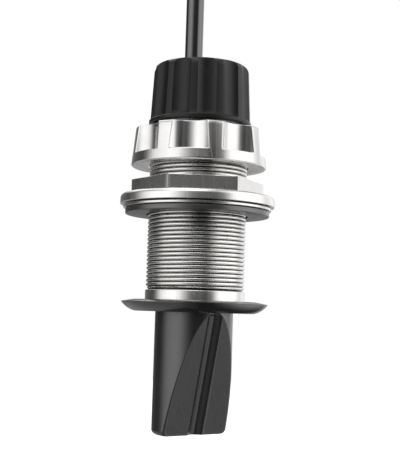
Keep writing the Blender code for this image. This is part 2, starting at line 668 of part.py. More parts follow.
def make_cable_gland():
    plug_radius = INSERT_BORE_RADIUS - TOUCH_GAP
    flange_top = GROMMET_SEAT + GROMMET_FLANGE_THICKNESS
    top = CAP_TOP + GROMMET_STAND
    profile = [
        (0.0, top),
        (GROMMET_NECK_RADIUS - GROMMET_EDGE, top),
        (GROMMET_NECK_RADIUS, top - GROMMET_EDGE),
        (GROMMET_NECK_RADIUS, flange_top),
        (GROMMET_FLANGE_RADIUS, flange_top),
        (GROMMET_FLANGE_RADIUS, GROMMET_SEAT),
        (plug_radius, GROMMET_SEAT),
        (plug_radius, NECK_TOP - GROMMET_PLUG_DEPTH),
        (0.0, NECK_TOP - GROMMET_PLUG_DEPTH),
    ]
    grommet = turned(
        "cable_grommet", profile, PARTS, BLACK_RUBBER, steps=SMALL_STEPS, closed=False
    )
    passage = cylinder(
        "cable_passage",
        PASSAGE_RADIUS,
        CABLE_START,
        top + GROMMET_PLUG_DEPTH,
        CUTTERS,
        steps=SMALL_STEPS,
        centre=(CABLE_OFFSET, 0.0),
    )
    boolean(grommet, passage, "DIFFERENCE")
    ring = [
        (GROMMET_FLANGE_RADIUS, THRUST_BOTTOM + THRUST_THICKNESS),
        (GROMMET_FLANGE_RADIUS, THRUST_BOTTOM),
        (CAP_HOLE_RADIUS, THRUST_BOTTOM),
        (CAP_HOLE_RADIUS, THRUST_BOTTOM + THRUST_THICKNESS),
    ]
    turned("gland_thrust_ring", ring, PARTS, STEEL, steps=SMALL_STEPS)


def half_width_in_bore(down, out, thickness):
    """Half width that a slanted block has room for inside the insert's round bore."""
    offsets = []
    for end in (-PIEZO_LENGTH / 2.0, PIEZO_LENGTH / 2.0):
        for face in (-thickness / 2.0, thickness / 2.0):
            spot = facet_frame(down + end, out + face).translation
            offsets.append(math.hypot(spot.x, spot.y))
    return math.sqrt(INSERT_BORE_RADIUS**2 - max(offsets) ** 2)


def make_inner_pieces():
    slant_length = (FACET_TOP_Z - INSERT_BOTTOM - INSERT_FLOOR) / math.cos(FACET_ANGLE)
    piezo_middle = slant_length - PIEZO_FOOT_GAP - PIEZO_LENGTH / 2.0
    piezo_out = -FACET_WALL - TOUCH_GAP - PIEZO_THICKNESS / 2.0
    reach = half_width_in_bore(piezo_middle, piezo_out, PIEZO_THICKNESS) - PIEZO_SIDE_ROOM
    size = (reach - PIEZO_CENTRE_GAP, PIEZO_THICKNESS, PIEZO_LENGTH)
    spread = (reach + PIEZO_CENTRE_GAP) / 2.0
    for name, side in (("piezo_bar_left", 1.0), ("piezo_bar_right", -1.0)):
        box(name, size, facet_frame(piezo_middle, piezo_out, side * spread), PARTS, CERAMIC)
    backing_out = piezo_out - PIEZO_THICKNESS / 2.0 - TOUCH_GAP - BACKING_THICKNESS / 2.0
    reach = half_width_in_bore(piezo_middle, backing_out, BACKING_THICKNESS) - BACKING_SIDE_ROOM
    size = (2.0 * reach, BACKING_THICKNESS, PIEZO_LENGTH)
    backing = box("backing_block", size, facet_frame(piezo_middle, backing_out), PARTS, ABSORBER)
    bevel(backing, BACKING_EDGE)

    inner = INSERT_BORE_RADIUS - TOUCH_GAP
    half_width = math.sqrt(inner**2 - (BOARD_OFFSET + BOARD_THICKNESS) ** 2)
    board_y = BOARD_OFFSET + BOARD_THICKNESS / 2.0
    board_middle = Matrix.Translation((0.0, board_y, BOARD_LENGTH / 2.0 - BOARD_DROP))
    size = (2.0 * half_width, BOARD_THICKNESS, BOARD_LENGTH)
    box("circuit_board", size, board_middle, PARTS, BOARD)
    core_y = BOARD_OFFSET - TOUCH_GAP - TRANSFORMER_HEIGHT / 2.0
    core_z = TRANSFORMER_RISE + TRANSFORMER_SIZE / 2.0 - BOARD_DROP
    core_middle = Matrix.Translation((0.0, core_y, core_z))
    size = (TRANSFORMER_SIZE, TRANSFORMER_HEIGHT, TRANSFORMER_SIZE)
    core = box("tuning_transformer", size, core_middle, PARTS, FERRITE)
    bevel(core, TRANSFORMER_EDGE)

    floor = INSERT_BOTTOM + INSERT_FLOOR + TOUCH_GAP
    reach = INSERT_BORE_RADIUS - TOUCH_GAP - SENSOR_RADIUS - TOUCH_GAP
    spot = -azimuth_direction(FACET_AZIMUTH) * reach
    cylinder(
        "temperature_sensor",
        SENSOR_RADIUS,
        floor,
        floor + SENSOR_LENGTH,
        PARTS,
        BRASS,
        steps=SMALL_STEPS,
        centre=(spot.x, spot.y),
    )
    cylinder(
        "potting_plug",
        INSERT_BORE_RADIUS - TOUCH_GAP,
        BOARD_LENGTH - BOARD_DROP + TOUCH_GAP,
        CABLE_START - TOUCH_GAP,
        PARTS,
        POTTING,
        steps=SMALL_STEPS,
    )


def make_cable():
    curve = bpy.data.curves.new("cable", "CURVE")
    curve.dimensions = "3D"
    curve.bevel_depth = CABLE_RADIUS
    curve.bevel_resolution = 4
    curve.use_fill_caps = True
    spline = curve.splines.new("POLY")
    count = max(2, round((CABLE_END - CABLE_START) / (4.0 * CABLE_RADIUS)) + 1)
    spline.points.add(count - 1)
    for index in range(count):
        height = CABLE_START + (CABLE_END - CABLE_START) * index / (count - 1)
        spline.points[index].co = (CABLE_OFFSET, 0.0, height, 1.0)
    place(bpy.data.objects.new("cable", curve), PARTS, CABLE_JACKET)


def make_connector():
    start = CABLE_END + TOUCH_GAP
    boot_top = start + BOOT_LENGTH
    shell_top = boot_top + SHELL_LENGTH
    ring_bottom = boot_top + SHELL_SHOULDER + TOUCH_GAP
    ring_top = ring_bottom + RING_LENGTH
    socket = SHELL_RADIUS - SHELL_WALL
    socket_floor = shell_top - SHELL_SOCKET_DEPTH
    shoulder = SHELL_RADIUS + SHELL_SHOULDER
    profile = [
        (0.0, socket_floor),
        (socket, socket_floor),
        (socket, shell_top),
        (SHELL_RADIUS, shell_top),
        (SHELL_RADIUS, boot_top + SHELL_SHOULDER),
        (shoulder, boot_top + SHELL_SHOULDER),
        (shoulder, boot_top - SHELL_SHOULDER),
        (BOOT_RADIUS, start + CONNECTOR_EDGE),
        (BOOT_RADIUS - CONNECTOR_EDGE, start),
        (0.0, start),
    ]
    shell = turned(
        "connector_shell", profile, PARTS, BLACK_PLASTIC, steps=SMALL_STEPS, closed=False
    )
    shell.location.x = CABLE_OFFSET

    inner = SHELL_RADIUS + SLIDE_GAP
    outer = inner + RING_THICKNESS
    profile = edged_ring(inner, outer, ring_bottom, ring_top, CONNECTOR_EDGE)
    ring = turned("coupling_ring", profile, PARTS, BLACK_PLASTIC, steps=SMALL_STEPS)
    ring.location.x = CABLE_OFFSET
    for index in range(RING_GRIP_COUNT):
        angle = 2.0 * math.pi * index / RING_GRIP_COUNT
        reach = outer - RING_GRIP_DEPTH + RING_GRIP_RADIUS
        spot = (CABLE_OFFSET + reach * math.cos(angle), reach * math.sin(angle))
        grip = cylinder(
            f"grip_{index}",
            RING_GRIP_RADIUS,
            ring_bottom + 2.0 * CONNECTOR_EDGE,
            ring_top + CONNECTOR_EDGE,
            CUTTERS,
            steps=PIN_STEPS,
            centre=spot,
        )
        boolean(ring, grip, "DIFFERENCE")

    disc_bottom = socket_floor + TOUCH_GAP
    disc_top = disc_bottom + PIN_DISC_THICKNESS
    pin_circle = socket - PIN_INSET
    disc = cylinder(
        "pin_insert",
        socket - TOUCH_GAP,
        disc_bottom,
        disc_top,
        PARTS,
        BRASS,
        steps=SMALL_STEPS,
        centre=(CABLE_OFFSET, 0.0),
    )
    for index in range(PIN_COUNT):
        angle = 2.0 * math.pi * (index + 0.5) / PIN_COUNT
        spot = (
            CABLE_OFFSET + pin_circle * math.cos(angle),
            pin_circle * math.sin(angle),
        )
        low = disc_top - PIN_DISC_THICKNESS / 2.0
        pin = cylinder(
            f"pin_{index}",
            PIN_RADIUS,
            low,
            disc_top + PIN_LENGTH,
            CUTTERS,
            steps=PIN_STEPS,
            centre=spot,
        )
        boolean(disc, pin, "UNION")


make_hull_flange()
make_threaded_sleeve()
make_washers()
make_hull_nut()
make_castle_nut()
make_insert_body()
make_seals()
make_retaining_collar()
make_fluted_cap()
make_cable_gland()
make_inner_pieces()
make_cable()
make_connector()

for obj in PARTS.objects:
    if obj.type == "MESH":
        obj.data.shade_smooth()
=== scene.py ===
import math

import bmesh
import bpy
from mathutils import Matrix, Vector


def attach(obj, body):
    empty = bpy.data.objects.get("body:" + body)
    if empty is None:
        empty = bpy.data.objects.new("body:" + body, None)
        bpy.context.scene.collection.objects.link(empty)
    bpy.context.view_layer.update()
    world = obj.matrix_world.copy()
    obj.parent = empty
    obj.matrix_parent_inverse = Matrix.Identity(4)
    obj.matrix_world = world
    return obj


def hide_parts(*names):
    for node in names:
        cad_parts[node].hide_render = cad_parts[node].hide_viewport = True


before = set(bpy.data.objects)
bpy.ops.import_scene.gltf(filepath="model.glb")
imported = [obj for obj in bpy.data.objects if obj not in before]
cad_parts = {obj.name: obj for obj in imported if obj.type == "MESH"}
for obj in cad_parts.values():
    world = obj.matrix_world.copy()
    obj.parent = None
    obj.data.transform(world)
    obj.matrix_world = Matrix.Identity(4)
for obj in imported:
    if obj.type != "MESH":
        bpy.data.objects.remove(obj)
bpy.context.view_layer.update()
mm = 0.001
tau = 2 * math.pi
weldDistance = 0.001 * mm           # points of a skin closer than this are one
seamDistance = 0.004 * mm           # the same where copies or skins meet
tiny = 1e-7                         # room for rounding errors
print("frame loaded:", len(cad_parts), "nodes")


def addObject(name, data):
    thing = bpy.data.objects.new(name, data)
    bpy.context.scene.collection.objects.link(thing)
    return thing


# Camera

cameraSettings = {
    "distance": 520 * mm,       # eye to the axis, on the -Y side
    "eyeHeight": -5.5 * mm,
    "lens": 80.35,
    "sensor": 36.0,
    "pitch": 4.92,              # degrees up
    "yaw": 0.18,                # degrees to the right
    "roll": 1.77,               # the object's top leans right
}


def makeCamera(s):
    pitch, yaw, roll = (math.radians(s[key]) for key in ("pitch", "yaw", "roll"))
    forward = Vector((math.sin(yaw) * math.cos(pitch), math.cos(yaw) * math.cos(pitch), math.sin(pitch)))
    right = forward.cross(Vector((0, 0, 1))).normalized()
    up = right.cross(forward)
    leanRight = right * math.cos(roll) + up * math.sin(roll)
    leanUp = up * math.cos(roll) - right * math.sin(roll)
    turn = Matrix((leanRight, leanUp, -forward)).transposed().to_4x4()
    data = bpy.data.cameras.new("camera")
    data.lens = s["lens"]
    data.sensor_width = s["sensor"]
    camera = addObject("camera", data)
    camera.matrix_world = Matrix.Translation((0, -s["distance"], s["eyeHeight"])) @ turn
    bpy.context.scene.camera = camera


makeCamera(cameraSettings)
print("camera set")


# Node helpers

class Tree:
    # One node tree with short calls for the nodes that are used again and again

    def __init__(self, tree):
        self.tree = tree

    def put(self, kind, values=None, **settings):
        node = self.tree.nodes.new(kind)
        for key, value in settings.items():
            setattr(node, key, value)
        for key, value in (values or {}).items():
            self.feed(node.inputs[key], value)
        return node

    def feed(self, socket, value):
        if isinstance(value, bpy.types.NodeSocket):
            self.tree.links.new(value, socket)
        else:
            socket.default_value = value

    def math(self, operation, *values):
        node = self.tree.nodes.new("ShaderNodeMath")
        node.operation = operation
        for socket, value in zip(node.inputs, values):
            self.feed(socket, value)
        return node.outputs[0]

    def plus(self, a, b):
        return self.math("ADD", a, b)

    def minus(self, a, b):
        return self.math("SUBTRACT", a, b)

    def times(self, a, b):
        return self.math("MULTIPLY", a, b)

    def over(self, a, b):
        return self.math("DIVIDE", a, b)

    def objectPlace(self):
        return self.put("ShaderNodeTexCoord").outputs["Object"]

    def axesOf(self, place):
        return self.put("ShaderNodeSeparateXYZ", {0: place}).outputs

    def fromAxis(self, axes):
        # Distance from Z
        return self.math("SQRT", self.plus(self.times(axes[0], axes[0]), self.times(axes[1], axes[1])))

    def noise(self, place, scale, detail, roughness):
        values = {"Vector": place, "Scale": scale, "Detail": detail, "Roughness": roughness}
        return self.put("ShaderNodeTexNoise", values).outputs[0]

    def spread(self, value, span, ends=(0.0, 1.0), **settings):
        # Takes a value from one span to another
        (low, high), (first, last) = span, ends
        values = {"Value": value, "From Min": low, "From Max": high, "To Min": first, "To Max": last}
        return self.put("ShaderNodeMapRange", values, **settings).outputs[0]

    def mix(self, part, first, second):
        return self.put("ShaderNodeMix", {0: part, 6: first, 7: second}, data_type="RGBA").outputs[2]


socketTypes = {float: "NodeSocketFloat", int: "NodeSocketInt"}


def newGroup(name, kind, inputs, outputs):
    # An input is given by its first value or by its socket's type, an output by its socket's type
    group = bpy.data.node_groups.new(name, kind)
    for socketName, value in inputs.items():
        socketType = socketTypes.get(type(value), value)
        socket = group.interface.new_socket(socketName, in_out="INPUT", socket_type=socketType)
        if socketType != value:
            socket.default_value = value
    for socketName, socketType in outputs.items():
        group.interface.new_socket(socketName, in_out="OUTPUT", socket_type=socketType)
    t = Tree(group)
    return group, t, t.put("NodeGroupInput").outputs, t.put("NodeGroupOutput").inputs


# Effects shared by the materials

effectValues = {
    "driftScale": 60.0,                # how soon the lathe's lines wander
    "broadScale": 90.0,
    "driftDetail": (1.0, 0.5),         # detail and roughness of the noise
    "ringDetail": (3.0, 0.7),
    "broadDetail": (2.0, 0.5),
    "fineDetail": (3.0, 0.5),
    "patchDetail": (4.0, 0.6),
    "smudgeDetail": (5.0, 0.65),
    "fineShare": 0.7,                  # of the grain's height, the rest is patches
    "scratchStretch": (1.0, 1.0, 0.06),
    "scratchTurn": (0.5, 0.9, 0.2),
    "hairlineWidth": 0.012,
    "hairlineShare": 0.35,
}


def makeTurnedLines(s):
    # Fine rings left by a lathe: they vary with radius and height only
    group, t, given, out = newGroup(
        "turnedLines", "ShaderNodeTree",
        {"Lines Per Metre": 2500.0, "Wander": 0.15},
        {"Height": "NodeSocketFloat", "Tone": "NodeSocketFloat"},
    )
    place = t.objectPlace()
    axes = t.axesOf(place)
    drift = t.times(t.noise(place, s["driftScale"], *s["driftDetail"]), t.times(given["Wander"], mm))
    across = t.plus(t.plus(t.fromAxis(axes), axes[2]), drift)
    along = t.put("ShaderNodeCombineXYZ", {0: t.times(across, given["Lines Per Metre"])}).outputs[0]
    rings = t.noise(along, 1.0, *s["ringDetail"])
    broad = t.noise(place, s["broadScale"], *s["broadDetail"])
    t.feed(out["Height"], rings)
    t.feed(out["Tone"], t.plus(t.times(rings, 0.5), t.times(broad, 0.5)))
    return group


def makeMouldedGrain(s):
    # Eggshell grain of a moulded plastic or rubber, with slow patches under it
    group, t, given, out = newGroup(
        "mouldedGrain", "ShaderNodeTree",
        {"Grain Scale": 2200.0, "Patch Scale": 45.0},
        {"Height": "NodeSocketFloat", "Tone": "NodeSocketFloat"},
    )
    place = t.objectPlace()
    fine = t.noise(place, given["Grain Scale"], *s["fineDetail"])
    patch = t.noise(place, given["Patch Scale"], *s["patchDetail"])
    t.feed(out["Height"], t.plus(t.times(fine, s["fineShare"]), t.times(patch, 1 - s["fineShare"])))
    t.feed(out["Tone"], patch)
    return group


def makeHandling(s):
    # Smudges and hairline scratches, as a mask from 0 to 1
    group, t, given, out = newGroup(
        "handlingMarks", "ShaderNodeTree",
        {"Smudge Scale": 35.0, "Scratch Scale": 120.0},
        {"Mask": "NodeSocketFloat"},
    )
    place = t.objectPlace()
    smudge = t.noise(place, given["Smudge Scale"], *s["smudgeDetail"])
    stretched = t.put("ShaderNodeMapping", {
        "Vector": place, "Scale": s["scratchStretch"], "Rotation": s["scratchTurn"],
    })
    scratch = t.put("ShaderNodeTexVoronoi", {
        "Vector": stretched.outputs[0], "Scale": given["Scratch Scale"],
    }, feature="DISTANCE_TO_EDGE")
    hairline = t.math("LESS_THAN", scratch.outputs["Distance"], s["hairlineWidth"])
    t.feed(out["Mask"], t.plus(smudge, t.times(hairline, s["hairlineShare"])))
    return group


turnedLines = makeTurnedLines(effectValues)
mouldedGrain = makeMouldedGrain(effectValues)
handlingMarks = makeHandling(effectValues)
print("effect groups ready")


# Materials

commonFinish = {
    "ior": 1.5,
    "specular": 0.5,
    "paintedRootShade": None,
    "toneSpan": (0.35, 0.65),          # of the grain's tone, from dark to full colour
    "markSpan": (0.35, 0.75),          # of the handling marks, from smooth to rough
    "bumpDistance": 0.5 * mm,
}
turnedFinishes = {
    "castleSteel": dict(slot="stainless_steel", color=(0.74, 0.73, 0.715), dark=(0.66, 0.65, 0.64),
                        rough=(0.16, 0.26), scale=1500.0, bump=0.03),
    "nutSteel": dict(slot="stainless_steel", color=(0.80, 0.79, 0.775), dark=(0.72, 0.71, 0.70),
                     rough=(0.20, 0.30), scale=1800.0, bump=0.04),
    # the thread's steel takes painted shade in its roots, darker towards the axis by radius
    "threadSteel": dict(slot="stainless_steel", color=(0.78, 0.77, 0.755), dark=(0.68, 0.67, 0.66),
                        rough=(0.18, 0.28), scale=2500.0, bump=0.01, paintedRootShade=(24.35 * mm, 24.95 * mm, 0.05)),
    "washerSteel": dict(slot="bright_steel", color=(0.74, 0.73, 0.71), dark=(0.66, 0.65, 0.63),
                        rough=(0.14, 0.22), scale=2500.0, bump=0.03),
    "brassMetal": dict(slot="brass", color=(0.68, 0.48, 0.20), dark=(0.58, 0.40, 0.16),
                       rough=(0.20, 0.32), scale=2500.0, bump=0.04),
}
mouldedFinishes = {
    "capPlastic": dict(slot="cap_plastic", color=(0.006, 0.006, 0.0065), dark=(0.004, 0.004, 0.0045),
                       rough=(0.32, 0.42), scale=2600.0, bump=0.05, specular=0.37),
    "insertPlastic": dict(slot="black_plastic", color=(0.010, 0.010, 0.0105), dark=(0.008, 0.008, 0.008),
                          rough=(0.24, 0.32), scale=2200.0, bump=0.05, ior=1.9),
    "flangePlastic": dict(slot="flange_plastic", color=(0.011, 0.011, 0.0115), dark=(0.008, 0.008, 0.008),
                          rough=(0.14, 0.22), scale=1800.0, bump=0.04, ior=1.9),
    "greyRubber": dict(slot="grey_rubber", color=(0.022, 0.022, 0.022), dark=(0.017, 0.017, 0.017),
                       rough=(0.26, 0.34), scale=3000.0, bump=0.06, ior=2.1),
    "blackRubber": dict(slot="black_rubber", color=(0.018, 0.018, 0.018), dark=(0.012, 0.012, 0.012),
                        rough=(0.50, 0.64), scale=3000.0, bump=0.10),
    "cableJacket": dict(slot="cable_jacket", color=(0.012, 0.012, 0.012), dark=(0.008, 0.008, 0.008),
                        rough=(0.10, 0.18), scale=1500.0, bump=0.02, ior=2.1),
    "piezoCeramic": dict(slot="piezo_ceramic", color=(0.55, 0.47, 0.33), dark=(0.48, 0.41, 0.28),
                         rough=(0.50, 0.65), scale=3500.0, bump=0.06),
    "backingAbsorber": dict(slot="backing_absorber", color=(0.10, 0.07, 0.05), dark=(0.07, 0.05, 0.035),
                            rough=(0.80, 0.95), scale=900.0, bump=0.30),
    "boardLaminate": dict(slot="board_laminate", color=(0.02, 0.14, 0.05), dark=(0.015, 0.11, 0.04),
                          rough=(0.30, 0.42), scale=1200.0, bump=0.05),
    "ferriteCore": dict(slot="ferrite", color=(0.05, 0.05, 0.055), dark=(0.035, 0.035, 0.04),
                        rough=(0.45, 0.6), scale=2500.0, bump=0.10),
    "pottingCompound": dict(slot="potting_compound", color=(0.03, 0.03, 0.028), dark=(0.02, 0.02, 0.02),
                            rough=(0.18, 0.35), scale=400.0, bump=0.08),
}
finishes = {}
for kind, metal, grain in ((turnedFinishes, 1.0, turnedLines), (mouldedFinishes, 0.0, mouldedGrain)):
    for name, values in kind.items():
        finishes[name] = {**commonFinish, "metal": metal, "grain": grain, **values}


def paintRootShade(t, colour, paintedRootShade):
    # Painted shade in the thread's roots: dark below the first radius, full colour from the second
    low, high, level = paintedRootShade
    part = t.spread(t.fromAxis(t.axesOf(t.objectPlace())), (low, high))
    return t.mix(part, (level, level, level, 1.0), colour)


def makeFinish(name, s):
    material = bpy.data.materials.new(name)
    material.use_nodes = True
    t = Tree(material.node_tree)
    shader = material.node_tree.nodes["Principled BSDF"]
    grain = t.put("ShaderNodeGroup", {0: s["scale"]}, node_tree=s["grain"]).outputs
    marks = t.put("ShaderNodeGroup", node_tree=handlingMarks).outputs["Mask"]
    tone = t.spread(grain["Tone"], s["toneSpan"])
    colour = t.mix(tone, (*s["dark"], 1.0), (*s["color"], 1.0))
    # painted shade in the roots, where a finish asks for it
    if s["paintedRootShade"]:
        colour = paintRootShade(t, colour, s["paintedRootShade"])
    rough = t.spread(marks, s["markSpan"], s["rough"])
    bump = t.put("ShaderNodeBump", {
        "Strength": s["bump"], "Distance": s["bumpDistance"], "Height": grain["Height"],
    })
    t.feed(shader.inputs["Base Color"], colour)
    t.feed(shader.inputs["Roughness"], rough)
    t.feed(shader.inputs["Normal"], bump.outputs[0])
    shader.inputs["Metallic"].default_value = s["metal"]
    shader.inputs["IOR"].default_value = s["ior"]
    shader.inputs["Specular IOR Level"].default_value = s["specular"]
    return material


materials = {name: makeFinish(name, s) for name, s in finishes.items()}
print("materials ready:", len(materials))


# Mesh helpers

def skin(name, rows, loopRows=False, loopColumns=True):
    # A mesh of quads over rows of points, which all have the same count
    model = bmesh.new()
    grid = [[model.verts.new(point) for point in row] for row in rows]
    rowCount, columnCount = len(grid), len(grid[0])
    for r in range(rowCount if loopRows else rowCount - 1):
        for c in range(columnCount if loopColumns else columnCount - 1):
            nextRow, nextColumn = (r + 1) % rowCount, (c + 1) % columnCount
            model.faces.new((grid[r][c], grid[r][nextColumn], grid[nextRow][nextColumn], grid[nextRow][c]))
    bmesh.ops.remove_doubles(model, verts=model.verts, dist=weldDistance)
    bmesh.ops.recalc_face_normals(model, faces=model.faces)
    mesh = bpy.data.meshes.new(name)
    model.to_mesh(mesh)
    model.free()
    return addObject(name, mesh)


def ring(radius, height, steps, centre=(0.0, 0.0)):
    angles = [tau * k / steps for k in range(steps)]
    return [(centre[0] + radius * math.cos(a), centre[1] + radius * math.sin(a), height) for a in angles]


def turned(name, profile, steps=128, loop=True, centre=(0.0, 0.0)):
    # A turned piece from (radius, height) points. With loop off the ends lie on the axis
    return skin(name, [ring(r, z, steps, centre) for r, z in profile], loopRows=loop)


def corner(centre, radius, start, end, steps=5):
    # Points of a round corner of a profile, in degrees from outwards towards up
    angles = [math.radians(start + (end - start) * k / steps) for k in range(steps + 1)]
    return [(centre[0] + radius * math.cos(a), centre[1] + radius * math.sin(a)) for a in angles]


def roundedBand(s, steps=4):
    # Profile of a flat ring whose outer edges are rounded
    middle, edge = s["radius"] - s["edge"], s["edge"]
    profile = [(s["bore"], s["high"])] + corner((middle, s["high"] - edge), edge, 90, 0, steps)
    return profile + corner((middle, s["low"] + edge), edge, 0, -90, steps) + [(s["bore"], s["low"])]


def applyModifiers(piece):
    # Turns a piece's live modifiers into its mesh
    bpy.context.view_layer.update()
    done = bpy.data.meshes.new_from_object(piece.evaluated_get(bpy.context.evaluated_depsgraph_get()))
    piece.modifiers.clear()
    piece.data = done


def softenEdges(piece, width, angle, segments=2):
    bevel = piece.modifiers.new("edges", "BEVEL")
    bevel.width = width
    bevel.segments = segments
    bevel.limit_method = "ANGLE"
    bevel.angle_limit = math.radians(angle)
    applyModifiers(piece)


def cutAway(piece, tool):
    # Takes the tool's shape out of the piece and drops the tool
    cut = piece.modifiers.new("cut", "BOOLEAN")
    cut.operation = "DIFFERENCE"
    cut.solver = "EXACT"
    cut.object = tool
    applyModifiers(piece)
    bpy.data.objects.remove(tool, do_unlink=True)


def dress(piece, finish, body, nodes=(), sharp=38.0):
    # Gives a finished piece its shading, material, body and the nodes that it stands for
    piece.data.shade_smooth()
    piece.data.set_sharp_from_angle(angle=math.radians(sharp))
    piece.data.materials.clear()
    piece.data.materials.append(materials[finish])
    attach(piece, body)
    if nodes:
        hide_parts(*nodes)
    return piece


# Geometry Nodes

def setInput(modifier, name, value):
    for item in modifier.node_group.interface.items_tree:
        if item.item_type == "SOCKET" and item.in_out == "INPUT" and item.name == name:
            modifier[item.identifier] = value


def endTree(t, shape, distance, material, out):
    # Makes copies real, closes the seams and sets the material
    real = t.put("GeometryNodeRealizeInstances", {0: shape})
    joined = t.put("GeometryNodeMergeByDistance", {"Geometry": real.outputs[0], "Distance": distance})
    dressed = t.put("GeometryNodeSetMaterial", {"Geometry": joined.outputs[0], "Material": material})
    t.feed(out[0], dressed.outputs[0])


def makeCopiesTree():
    # Copies one sector of a ring around Z, joins the copies and closes their seams
    group, t, given, out = newGroup(
        "copiesAround", "GeometryNodeTree",
        {"Sector": "NodeSocketGeometry", "Count": 8, "Centre": "NodeSocketVector",
         "Merge Distance": seamDistance, "Material": "NodeSocketMaterial"},
        {"Ring": "NodeSocketGeometry"},
    )
    points = t.put("GeometryNodePoints", {"Count": given["Count"], "Position": given["Centre"]})
    index = t.put("GeometryNodeInputIndex").outputs[0]
    turn = t.over(t.times(index, tau), given["Count"])
    around = t.put("ShaderNodeCombineXYZ", {2: turn}).outputs[0]
    rotation = t.put("FunctionNodeEulerToRotation", {0: around}).outputs[0]
    copies = t.put("GeometryNodeInstanceOnPoints", {
        "Points": points.outputs[0], "Instance": given["Sector"], "Rotation": rotation,
    })
    endTree(t, copies.outputs[0], given["Merge Distance"], given["Material"], out)
    return group


def makeThreadTree():
    # Skin of a screw thread: its rows climb with the helix and are clipped flat at both ends
    group, t, given, out = newGroup(
        "screwThread", "GeometryNodeTree",
        {"Source": "NodeSocketGeometry", "Root Radius": 0.024, "Depth": 0.0012, "Pitch": 0.002, "Low": 0.0,
         "High": 0.05, "Run Out": 0.002, "Turn Steps": 96, "Rows Per Pitch": 12, "Crest Flatness": 3.0,
         "Material": "NodeSocketMaterial"},
        {"Skin": "NodeSocketGeometry"},
    )
    rise = t.over(given["Pitch"], given["Rows Per Pitch"])
    span = t.plus(t.minus(given["High"], given["Low"]), given["Pitch"])
    rowCount = t.plus(t.math("CEIL", t.over(span, rise)), 1.0)
    columnCount = t.plus(given["Turn Steps"], 1.0)
    grid = t.put("GeometryNodeMeshGrid", {
        "Size X": 1.0, "Size Y": 1.0, "Vertices X": columnCount, "Vertices Y": rowCount,
    })
    spot = t.axesOf(t.put("GeometryNodeInputPosition").outputs[0])
    share = t.plus(spot[0], 0.5)
    row = t.math("ROUND", t.times(t.plus(spot[1], 0.5), t.minus(rowCount, 1.0)))
    climb = t.times(given["Pitch"], t.minus(share, 1.0))
    free = t.plus(t.plus(given["Low"], climb), t.times(row, rise))
    height = t.math("MINIMUM", t.math("MAXIMUM", free, given["Low"]), given["High"])
    phase = t.math("FRACT", t.over(row, given["Rows Per Pitch"]))
    offCrest = t.math("ABSOLUTE", t.minus(t.times(phase, 2.0), 1.0))
    flank = t.minus(1.0, t.math("POWER", offCrest, given["Crest Flatness"]))
    below = t.over(t.minus(height, given["Low"]), given["Run Out"])
    above = t.over(t.minus(given["High"], height), given["Depth"])
    allowed = t.math("MINIMUM", t.math("MINIMUM", below, above), flank)
    thickness = t.times(given["Depth"], t.math("MAXIMUM", allowed, 0.0))
    radius = t.plus(given["Root Radius"], thickness)
    angle = t.times(share, tau)
    place = t.put("ShaderNodeCombineXYZ", {
        0: t.times(radius, t.math("COSINE", angle)),
        1: t.times(radius, t.math("SINE", angle)),
        2: height,
    })
    moved = t.put("GeometryNodeSetPosition", {"Geometry": grid.outputs[0], "Position": place.outputs[0]})
    endTree(t, moved.outputs[0], seamDistance, given["Material"], out)
    return group


copiesAround = makeCopiesTree()
screwThread = makeThreadTree()


def copiesOf(sector, count, finish, centre=(0.0, 0.0, 0.0)):
    modifier = sector.modifiers.new("copies", "NODES")
    modifier.node_group = copiesAround
    setInput(modifier, "Count", count)
    setInput(modifier, "Centre", centre)
    setInput(modifier, "Merge Distance", seamDistance)
    setInput(modifier, "Material", materials[finish])
    applyModifiers(sector)
    return sector


def threadSkin(name, s, finish):
    piece = addObject(name, bpy.data.meshes.new(name))
    modifier = piece.modifiers.new("thread", "NODES")
    modifier.node_group = screwThread
    for key, value in s.items():
        setInput(modifier, key, value)
    setInput(modifier, "Material", materials[finish])
    applyModifiers(piece)
    return piece


def joinSkins(first, second):
    # Joins two open skins along the rings that they share and turns their faces outwards
    model = bmesh.new()
    model.from_mesh(first.data)
    model.from_mesh(second.data)
    bmesh.ops.remove_doubles(model, verts=model.verts, dist=seamDistance)
    bmesh.ops.recalc_face_normals(model, faces=model.faces)
    model.to_mesh(first.data)
    model.free()
    bpy.data.objects.remove(second, do_unlink=True)
    return first


print("geometry trees ready")


# Cable, first of the pieces: it is held taut above the photograph's edge

cableValues = {
    "radius": 4.65 * mm,
    "x": -4.4 * mm,
    "start": 101.2 * mm,
    "end": 163.2 * mm,
    "points": 5,
    "roundness": 14,
    "exitHeight": 123.1 * mm,
}


def makeCable(s):
    curve = bpy.data.curves.new("cableJacket", "CURVE")
    curve.dimensions = "3D"
    curve.bevel_depth = s["radius"]
    curve.bevel_resolution = s["roundness"]
    curve.use_fill_caps = True
    spline = curve.splines.new("POLY")
    spline.points.add(s["points"] - 1)
    for k in range(s["points"]):
        height = s["start"] + (s["end"] - s["start"]) * k / (s["points"] - 1)
        spline.points[k].co = (s["x"], 0.0, height, 1.0)
    spline.use_smooth = True
    cable = addObject("cableJacket", curve)
    curve.materials.append(materials["cableJacket"])
    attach(cable, "insert")
    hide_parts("cable")
    return cable


cable = makeCable(cableValues)


# Connector on the cable's end

